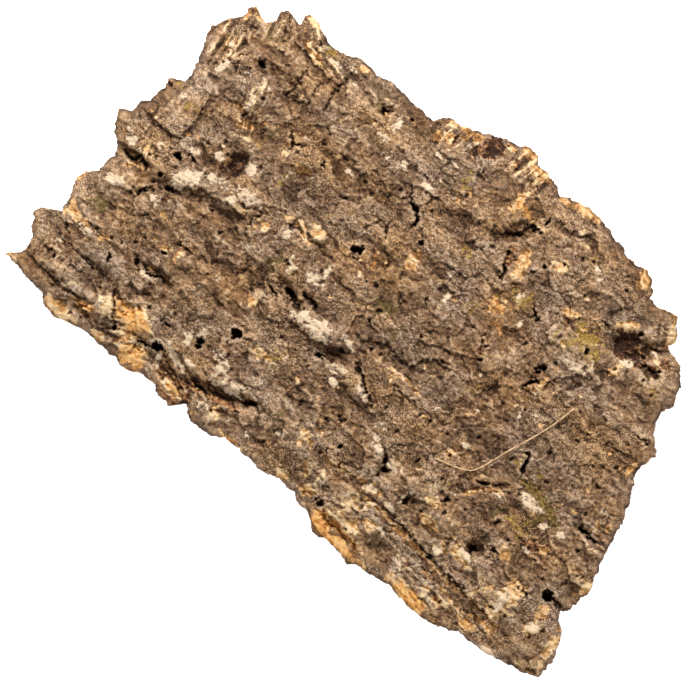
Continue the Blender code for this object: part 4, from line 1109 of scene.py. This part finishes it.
class Nodes:
    """A material, and short ways to add and join its shader nodes."""

    def __init__(self, name):
        self.material = bpy.data.materials.new(name)
        self.material.use_nodes = True
        self.tree = self.material.node_tree
        self.shader = self.tree.nodes["Principled BSDF"]

    def put(self, node, values):
        """Links or sets a node's inputs."""
        for name, value in values.items():
            socket = node.inputs[name]
            if isinstance(value, bpy.types.NodeSocket):
                self.tree.links.new(value, socket)
            elif socket.type == "RGBA":
                socket.default_value = (*value, 1.0)
            else:
                socket.default_value = value

    def add(self, kind, values, **settings):
        node = self.tree.nodes.new(kind)
        for key, value in settings.items():
            setattr(node, key, value)
        self.put(node, values)
        return node.outputs

    def finish(self, values):
        """Sets the shader's own inputs, and returns the material."""
        self.put(self.shader, values)
        return self.material

    def maths(self, operation, *values, clamp=False):
        inputs = dict(enumerate(values))
        return self.add("ShaderNodeMath", inputs, operation=operation, use_clamp=clamp)[0]

    def plus(self, a, b):
        return self.maths("ADD", a, b)

    def minus(self, a, b):
        return self.maths("SUBTRACT", a, b)

    def times(self, a, b):
        return self.maths("MULTIPLY", a, b)

    def scaled(self, value, factor, offset):
        return self.maths("MULTIPLY_ADD", value, factor, offset)

    def swing(self, noise, amount):
        """The noise about nought, times the amount."""
        return self.times(self.minus(noise, 0.5), amount)

    def mix(self, factor, a, b, blend="MIX"):
        inputs = {"Factor": factor, 6: a, 7: b}
        return self.add("ShaderNodeMix", inputs, data_type="RGBA", blend_type=blend)[2]

    def tinted(self, colour, tint):
        return self.mix(1.0, colour, tint, "MULTIPLY")

    def place(self, stretch=(1.0, 1.0, 1.0)):
        coords = self.add("ShaderNodeTexCoord", {})["Object"]
        return self.add("ShaderNodeMapping", {"Vector": coords, "Scale": stretch})[0]

    def noise(self, size_mm, detail=3.0, rough=0.6, stretch=(1.0, 1.0, 1.0)):
        inputs = {
            "Vector": self.place(stretch), "Scale": 1000.0 / size_mm,
            "Detail": detail, "Roughness": rough,
        }
        return self.add("ShaderNodeTexNoise", inputs)["Fac"]

    def spots(self, size_mm):
        inputs = {"Vector": self.place(), "Scale": 1000.0 / size_mm}
        return self.add("ShaderNodeTexVoronoi", inputs, feature="F1")["Distance"]

    def ramp(self, value, low, high):
        inputs = {"Value": value, "From Min": low, "From Max": high}
        return self.add("ShaderNodeMapRange", inputs, interpolation_type="SMOOTHSTEP", clamp=True)[0]

    def spread(self, mask, noise, amount):
        """The mask with its edge broken by the noise."""
        return self.ramp(self.plus(mask, self.swing(noise, amount)), 0.42, 0.62)

    def colour_ramp(self, value, stops):
        colour = self.add("ShaderNodeValToRGB", {0: value})[0]
        band = colour.node.color_ramp
        while len(band.elements) < len(stops):
            band.elements.new(0.5)
        for element, (position, shade) in zip(band.elements, stops):
            element.position = position
            element.color = (*shade, 1.0)
        return colour

    def attribute(self, name):
        """The three parts of a colour attribute."""
        colour = self.add("ShaderNodeAttribute", {}, attribute_name=name)["Color"]
        return self.add("ShaderNodeSeparateColor", {0: colour})[:3]

    def bumped(self, height, strength, distance):
        inputs = {"Height": height, "Strength": strength, "Distance": distance}
        return self.add("ShaderNodeBump", inputs)[0]


# Weathered bark from its darkest to its lightest tone, which holds painted shade in hollows and painted
# highlight on crests as well as the bark's own tone: (tone, colour)
BARK_TONES = [
    (0.00, (0.026, 0.012, 0.005)),
    (0.22, (0.073, 0.038, 0.017)),
    (0.42, (0.165, 0.094, 0.050)),
    (0.58, (0.270, 0.164, 0.091)),
    (0.76, (0.420, 0.275, 0.160)),
    (1.00, (0.780, 0.580, 0.390)),
]

# Freshly broken cork: (tone, colour)
CORK_TONES = [
    (0.00, (0.190, 0.080, 0.026)),
    (0.30, (0.500, 0.245, 0.078)),
    (0.60, (0.780, 0.435, 0.165)),
    (1.00, (0.990, 0.740, 0.440)),
]

# Tints of the tones above
GREYED, BROWNED, ORANGE = (0.95, 0.965, 1.04), (1.10, 0.89, 0.57), (1.04, 0.83, 0.55)

# Darkest and lightest colour of each coat
ROTTEN = (0.045, 0.018, 0.008), (0.310, 0.140, 0.060)
CRUST = (0.31, 0.208, 0.125), (0.93, 0.705, 0.475)
GOLDEN = (0.21, 0.125, 0.035), (0.62, 0.40, 0.065)
GREEN = (0.060, 0.042, 0.012), (0.240, 0.165, 0.045)
LINING = (0.15, 0.078, 0.04), (0.40, 0.24, 0.13)
ROT_FLECK = (0.60, 0.32, 0.13)
LICHEN_SPECK = (0.86, 0.72, 0.53)
# Near-black painted shade for holes, cracks, pinholes and the feet of ledges
HOLLOW_SHADE = (0.032, 0.015, 0.006)


def weathered_colour(n, tone, warm, fine, small, medium):
    """Grey-brown bark: fine grit, stronger in some regions, over the tone stored on the mesh, which holds
    painted light.
    """
    coarse = n.scaled(n.ramp(n.noise(26.0, 3.0, 0.6), 0.38, 0.62), 2.0, 0.9)
    grit = n.plus(n.swing(fine, 1.0), n.swing(n.noise(0.45, 1.0, 0.5), 0.6))
    level = n.plus(tone, n.times(grit, coarse))
    level = n.plus(n.plus(level, n.swing(small, 0.14)), n.swing(medium, 0.32))
    base = n.colour_ramp(level, BARK_TONES)
    flicker = n.swing(n.noise(1.5, 3.0, 0.8), 2.8)
    hue = n.maths("ADD", n.times(warm, 0.8), flicker, clamp=True)
    return n.mix(hue, n.tinted(base, GREYED), n.tinted(base, BROWNED))


def cork_colour(n, streaked, warm):
    """Fresh cork, more orange where it is warmest."""
    cork = n.colour_ramp(n.scaled(n.minus(streaked, 0.5), 4.6, 0.55), CORK_TONES)
    return n.mix(n.ramp(warm, 0.75, 1.0), cork, n.tinted(cork, ORANGE))


def rot_colour(n, streaked, rot):
    """Brown rot, darker where its mask is stronger, with light flecks."""
    decay = n.scaled(rot, -0.06, n.plus(streaked, 0.05))
    rotten = n.mix(n.ramp(decay, 0.42, 0.58), *ROTTEN)
    return n.mix(n.ramp(decay, 0.57, 0.62), rotten, ROT_FLECK)


def crust_colour(n, light, raised, pale):
    """Pale crust, lighter where its mask is stronger and, as painted highlight, on raised grains."""
    core = n.scaled(n.minus(pale, 0.8), 0.22, light)
    return n.mix(n.ramp(n.scaled(raised, 0.6, core), 0.38, 0.60), *CRUST)


def bark_material():
    n = Nodes("bark_weathered")
    tan, pale, rot = n.attribute("coat")
    # Yellow lichen, moss, and the painted shade of holes, cracks and ledge feet
    yellow, moss, dark = n.attribute("growth_and_shade")
    tone, warm, inner = n.attribute("form")
    fine = n.noise(0.68, 3.0, 0.85)
    small = n.noise(3.0, 4.0, 0.65)
    medium = n.noise(11.0, 4.0, 0.6)
    along = n.noise(3.2, 4.0, 0.7, (0.3, 1.0, 1.0))
    # The tone above the middle carries the painted highlight and shade; cork, rot and crust take it on.
    raised = n.minus(tone, MIDDLE_TONE)
    light = n.plus(n.times(fine, 0.6), n.times(small, 0.4))
    streaked = n.scaled(raised, 0.35, n.plus(n.times(light, 0.68), n.times(along, 0.32)))

    base = weathered_colour(n, tone, warm, fine, small, medium)
    base = n.mix(n.spread(tan, small, 1.0), base, cork_colour(n, streaked, warm))
    base = n.mix(n.spread(rot, small, 0.8), base, rot_colour(n, streaked, rot))
    crust = crust_colour(n, light, raised, pale)
    base = n.mix(n.times(n.spread(pale, fine, 1.3), 0.9), base, crust)
    film = n.ramp(fine, 0.40, 0.60)
    base = n.mix(n.times(n.spread(yellow, fine, 1.3), 0.7), base, n.mix(film, *GOLDEN))
    base = n.mix(n.times(n.spread(moss, fine, 1.2), 0.75), base, n.mix(film, *GREEN))
    speck = n.times(n.ramp(n.noise(1.1, 3.0, 0.7), 0.665, 0.70), n.ramp(medium, 0.42, 0.55))
    base = n.mix(speck, base, LICHEN_SPECK)
    # Painted shade: holes, cracks, pinholes and ledge feet go near black
    base = n.mix(n.times(dark, 0.88), base, HOLLOW_SHADE)
    lining = n.mix(n.noise(9.0, 4.0, 0.6, (0.12, 1.0, 1.0)), *LINING)
    grain = n.plus(n.plus(n.times(small, 0.8), n.times(fine, 0.9)), n.times(n.spots(1.4), 0.35))
    return n.finish(
        {
            "Base Color": n.mix(inner, base, lining),
            "Roughness": n.scaled(small, 0.25, 0.72),
            "Specular IOR Level": 0.2,
            "Normal": n.bumped(grain, 0.9, 0.0016),
        }
    )


def moss_material():
    n = Nodes("moss_dry")
    tint = n.ramp(n.noise(1.1, 3.0, 0.7), 0.38, 0.62)
    colour = n.mix(tint, (0.060, 0.036, 0.010), (0.50, 0.32, 0.10))
    return n.finish({"Base Color": colour, "Roughness": 0.8, "Specular IOR Level": 0.2})


def stem_material():
    n = Nodes("dry_straw")
    tint = n.ramp(n.noise(3.0, 3.0, 0.6), 0.3, 0.7)
    colour = n.mix(tint, (0.32, 0.185, 0.080), (0.66, 0.44, 0.23))
    return n.finish({"Base Color": colour, "Roughness": 0.55})


def floor_material():
    return Nodes("pale_floor").finish(
        {
            "Base Color": (0.93, 0.93, 0.93),
            "Emission Color": (1.0, 1.0, 1.0),
            "Emission Strength": 0.8,
            "Roughness": 0.9,
            "Specular IOR Level": 0.1,
        }
    )


# ---------------------------------------------------------------- pieces


def add_piece(name, mesh, finish, node):
    obj = bpy.data.objects.new(name, mesh)
    mesh.materials.append(finish)
    bpy.context.scene.collection.objects.link(obj)
    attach(obj, "root")
    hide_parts(node)
    return obj


CHART_SCALE = 0.985 / (2 * REACH_X)  # of a millimetre on the outer side
CHART_GAP = 0.005
STRIPS = 5  # that the edge is cut into on the chart
STRIP_LEFT, STRIP_LENGTH = 0.52, 0.46
STRIP_PITCH, STRIP_HEIGHT = 0.062, 0.05


def chart(points, faces, count):
    """A flat map of the bark: the outer side large, the inner side half size, the edge in strips."""

    def flat(label, scale, low):
        corners = points[faces[label].reshape(-1), :2] + (REACH_X, REACH_Y)
        return corners * scale + (CHART_GAP, low)

    top = 2 * REACH_Y * CHART_SCALE + 4 * CHART_GAP
    around = np.tile(np.arange(count), WALL_ROWS)
    row = np.repeat(np.arange(WALL_ROWS), count)
    length = count // STRIPS + 1
    strip, place = around // length, around % length
    left, right = (STRIP_LEFT + (place + k) / length * STRIP_LENGTH for k in (0, 1))
    high, low = (
        top + strip * STRIP_PITCH + (1 - (row + k) / WALL_ROWS) * STRIP_HEIGHT for k in (0, 1)
    )
    corners = [(left, high), (left, low), (right, low), (right, high)]
    wall = np.stack([np.column_stack(corner) for corner in corners], axis=1).reshape(-1, 2)
    return np.vstack(
        [
            flat("quads", CHART_SCALE, CHART_GAP),
            flat("triangles", CHART_SCALE, CHART_GAP),
            wall,
            flat("under", CHART_SCALE / 2, top),
        ]
    )


def edge_finish(read, points, count, edge):
    """The broken edge: its layers, and how far down it the outer side's finishes reach."""
    x, y, z = points[edge].T
    rim_steps = points[:count, :2] - np.roll(points[:count, :2], 1, axis=0)
    run = np.tile(np.cumsum(np.hypot(*rim_steps.T)), WALL_ROWS - 1)
    down = np.repeat(np.arange(1, WALL_ROWS) / WALL_ROWS, count)
    broken = fractal(x / 6 + z / 2.5, y / 6 - z / 2.5, 301, 4, 0.6)
    layers = fractal(run / 24, z / 1.3, 305, 3, 0.6)
    open_face = smoothstep(flare(points[edge]) / 0.02)
    kept = np.maximum(smoothstep(1.3 - 2.2 * down + 0.9 * broken), open_face)
    for label in ("tan", "pale", "rot", "yellow", "moss"):
        read[label][edge] *= kept
    fresh = smoothstep(0.25 + 0.7 * broken + 0.5 * layers) * down
    raise_to(read["tan"], edge, 0.9 * fresh)
    # Less painted shade on the broken edge
    read["dark"][edge] *= 0.3
    read["tone"][edge] += down * (0.20 * layers + 0.10 * broken)


def make_bark():
    points, faces, (count, wall_start, bottom_start) = build_bark()
    read = {label: sample(mask, points[:, 0], points[:, 1], GRID) for label, mask in masks.items()}
    edge_finish(read, points, count, slice(wall_start, bottom_start))
    for values in read.values():
        values[bottom_start:] = 0.0
    read["inner"] = (np.arange(len(points)) >= bottom_start).astype(float)
    coats = {
        "coat": ("tan", "pale", "rot"),
        # dark is the painted shade of holes, cracks, pinholes and ledge feet
        "growth_and_shade": ("yellow", "moss", "dark"),
        "form": ("tone", "warm", "inner"),
    }
    attributes = {
        name: np.column_stack([read[label] for label in labels]) for name, labels in coats.items()
    }
    polygons = [faces[label] for label in ("quads", "triangles", "walls", "under")]
    uv = chart(points, faces, count)
    mesh = make_mesh("bark_surface", points, polygons, attributes, uv)
    add_piece("bark_surface", mesh, bark_material(), "bark")


def resampled(points, step):
    """Points a step apart along a smooth curve through the given points."""
    points = [Vector(point) for point in points]
    ends = [points[0] * 2 - points[1]] + points + [points[-1] * 2 - points[-2]]
    found = [points[0]]
    for before, start, end, after in zip(ends, ends[1:], ends[2:], ends[3:]):
        count = max(2, round((end - start).length / step) + 1)
        handle_a = start + (end - before) / 6.0
        handle_b = end - (after - start) / 6.0
        found += interpolate_bezier(start, handle_a, handle_b, end, count)[1:]
    return np.array([point[:] for point in found])


# Moss: (x, y, half width) along the tuft and its side branch
MOSS_RUNS = [
    [(102, -21.8, 0.9), (107, -22, 1.9), (112, -22.8, 2.2), (118, -24.3, 2.6), (124, -26.5, 2.4),
     (128.5, -29.5, 1.2)],
    [(122, -29, 1.0), (120.5, -32, 1.3), (119, -35, 1.2), (117, -38, 0.7)],
]
MOSS_LEAVES = 1500
LEAF_RINGS = (0.0, 0.16), (0.35, 0.2), (0.7, 0.13)  # share of the leaf's length, half width
LEAF_SIDES = (1.0, 0.0), (-0.5, 0.85), (-0.5, -0.85)


def moss_leaf(rng, spot):
    """A short curved leaf with a three-sided foot and a pointed tip, leaning out of the tuft."""
    x, y, half_width = spot
    turn, off = rng.uniform(0, 2 * math.pi), half_width * math.sqrt(rng.uniform())
    foot_x, foot_y = x + off * math.cos(turn), y + off * math.sin(turn) * 0.9
    crown = 1.0 - (off / half_width) ** 2
    length = rng.uniform(0.9, 1.8) * (0.55 + 0.6 * crown)
    lean = rng.uniform(0.2, 1.1)
    heading = turn + rng.normal(0, 0.8)
    cos, sin = math.cos(heading), math.sin(heading)
    side = np.array([-sin, cos, 0.0])
    ahead = np.array([cos * lean, sin * lean, 1.0])
    ahead /= np.linalg.norm(ahead)
    bend = np.array([cos, sin, -0.4]) * rng.uniform(0.2, 0.7)
    ground = float(sample(outer, foot_x, foot_y, GRID))
    foot = np.array([foot_x, foot_y, ground - 0.25 + 0.5 * crown * rng.uniform()])
    up = np.cross(side, ahead)
    points = []
    for share, width in LEAF_RINGS:
        middle = foot + ahead * length * share + bend * length * share**2 * 0.6
        points += [middle + (up * a + side * b) * width for a, b in LEAF_SIDES]
    points.append(foot + ahead * length + bend * length * 0.6)
    return points


def leaf_faces():
    """The triangles of one leaf, numbered from its first point."""
    faces = [(2, 1, 0)]
    for k in range(3):
        after = (k + 1) % 3
        for ring in (0, 3):
            a, b = ring + k, ring + after
            faces += [(a, b, b + 3), (a, b + 3, a + 3)]
        faces.append((6 + k, 6 + after, 9))
    return np.array(faces)


def make_moss():
    rng = np.random.default_rng(41)
    spines = np.vstack([resampled(run, 0.8) for run in MOSS_RUNS])
    leaves = [moss_leaf(rng, spines[rng.integers(len(spines))]) for _ in range(MOSS_LEAVES)]
    starts = np.arange(MOSS_LEAVES) * len(leaves[0])
    triangles = (leaf_faces() + starts[:, None, None]).reshape(-1, 3)
    mesh = make_mesh("moss_leaves", np.vstack(leaves), [triangles], {})
    add_piece("moss_leaves", mesh, moss_material(), "moss_tuft")


STEM_POINTS = [(99.5, 22), (97, 11), (93, -1), (87, -16), (81.5, -30.5), (76, -36), (61, -40.7)]
STEM_RADIUS = 0.38
STEM_SIDES = 10
STEM_STEP = 0.8
STEM_SPAN = 12  # steps that the stiff stem bridges to either side of a high point


def stem_levels(route):
    """The ground under the stem, smoothed as a stiff stem bridges its hollows."""
    reach = np.linspace(-1.0, 1.0, 5)
    ground = np.max(
        [sample(outer, route[:, 0] + a, route[:, 1] + b, GRID) for a in reach for b in reach], axis=0
    )
    wide = np.pad(ground, STEM_SPAN, mode="edge")
    span = np.array([wide[k : k + 2 * STEM_SPAN + 1].max() for k in range(len(ground))])
    level = np.convolve(np.pad(span, 7, mode="edge"), np.ones(15) / 15, mode="valid")
    return np.maximum(level, ground)


def make_stem():
    """The grass stem: a slightly flattened tube that tapers and lies over the high points."""
    route = resampled([(x, y, 0.0) for x, y in STEM_POINTS], STEM_STEP)
    middle = np.column_stack([route[:, :2], stem_levels(route) + STEM_RADIUS * 0.7])
    count = len(middle)
    ahead = np.gradient(middle, axis=0)
    ahead /= np.linalg.norm(ahead, axis=1)[:, None]
    side = np.cross(ahead, (0.0, 0.0, 1.0))
    side /= np.linalg.norm(side, axis=1)[:, None]
    up = np.cross(side, ahead)
    share = np.linspace(0, 1, count)
    thick = STEM_RADIUS * (1.0 - 0.15 * share) * (1 + 0.08 * np.sin(share * 40))
    points, quads, caps = [], [], []
    last, tips = (count - 1) * STEM_SIDES, count * STEM_SIDES
    for k in range(count):
        for s in range(STEM_SIDES):
            angle = 2 * math.pi * s / STEM_SIDES
            out = side[k] * math.cos(angle) + 0.85 * up[k] * math.sin(angle)
            ridge = 1.0 + 0.1 * math.cos(3 * angle + k * 0.15)
            points.append(middle[k] + thick[k] * ridge * out)
    for s in range(STEM_SIDES):
        after = (s + 1) % STEM_SIDES
        for start in range(0, last, STEM_SIDES):
            a, b = start + s, start + after
            quads.append((a, b, b + STEM_SIDES, a + STEM_SIDES))
        caps += [(after, s, tips), (last + s, last + after, tips + 1)]
    points += [middle[0] - ahead[0] * 0.2, middle[-1] + ahead[-1] * 0.2]
    mesh = make_mesh("grass_stem", np.array(points), [np.array(quads), np.array(caps)], {})
    bm = bmesh.new()
    bm.from_mesh(mesh)
    bmesh.ops.recalc_face_normals(bm, faces=bm.faces[:])
    bm.to_mesh(mesh)
    bm.free()
    add_piece("grass_stem", mesh, stem_material(), "dry_grass_stem")


# ---------------------------------------------------------------- stage

FLOOR_HALF = 3.0  # metres
FLOOR_GAP = 0.0003  # metres that the floor lies under the slab
WORLD_STRENGTH = 0.42
KEY_POWER, FILL_POWER = 136.0, 8.0  # watts
IMAGE_UP = Vector((-math.sin(TURN), math.cos(TURN), 0.0))

VIEW_WIDTH = 350.0
LENS = 300.0
SENSOR = 36.0
AIM = (-5.2, -25.4, 12.0)


def make_floor():
    mesh = bpy.data.meshes.new("floor")
    corners = [(-1, -1), (1, -1), (1, 1), (-1, 1)]
    mesh.from_pydata([(x * FLOOR_HALF, y * FLOOR_HALF, 0) for x, y in corners], [], [(0, 1, 2, 3)])
    floor = bpy.data.objects.new("floor", mesh)
    floor.location.z = -FLOOR_GAP
    mesh.materials.append(floor_material())
    bpy.context.scene.collection.objects.link(floor)


def add_light(name, place, size, energy, target=(0.0, 0.0, 0.02)):
    data = bpy.data.lights.new(name, "AREA")
    data.shape = "DISK"
    data.size = size
    data.energy = energy
    light = bpy.data.objects.new(name, data)
    light.location = place
    light.rotation_euler = (Vector(target) - Vector(place)).to_track_quat("-Z", "Y").to_euler()
    bpy.context.scene.collection.objects.link(light)


def make_stage():
    make_floor()
    world = bpy.data.worlds.new("studio")
    world.use_nodes = True
    sky = world.node_tree.nodes["Background"]
    sky.inputs["Color"].default_value = (1.0, 1.0, 1.0, 1.0)
    sky.inputs["Strength"].default_value = WORLD_STRENGTH
    bpy.context.scene.world = world
    add_light("key", IMAGE_UP * 2.1 + Vector((0, 0, 2.1)), 0.80, KEY_POWER)
    add_light("fill", IMAGE_UP * -1.1 + Vector((0, 0, 1.3)), 0.9, FILL_POWER)
    bpy.context.scene.view_settings.view_transform = "Standard"


def make_camera():
    data = bpy.data.cameras.new("camera")
    data.lens = LENS
    data.sensor_width = SENSOR
    distance = VIEW_WIDTH * LENS / SENSOR
    data.clip_end = 20.0
    camera = bpy.data.objects.new("camera", data)
    camera.location = (AIM[0] * MM, AIM[1] * MM, (AIM[2] + distance) * MM)
    camera.rotation_euler = (0.0, 0.0, TURN)
    bpy.context.scene.collection.objects.link(camera)
    bpy.context.scene.camera = camera


make_camera()
make_bark()
make_moss()
make_stem()
make_stage()
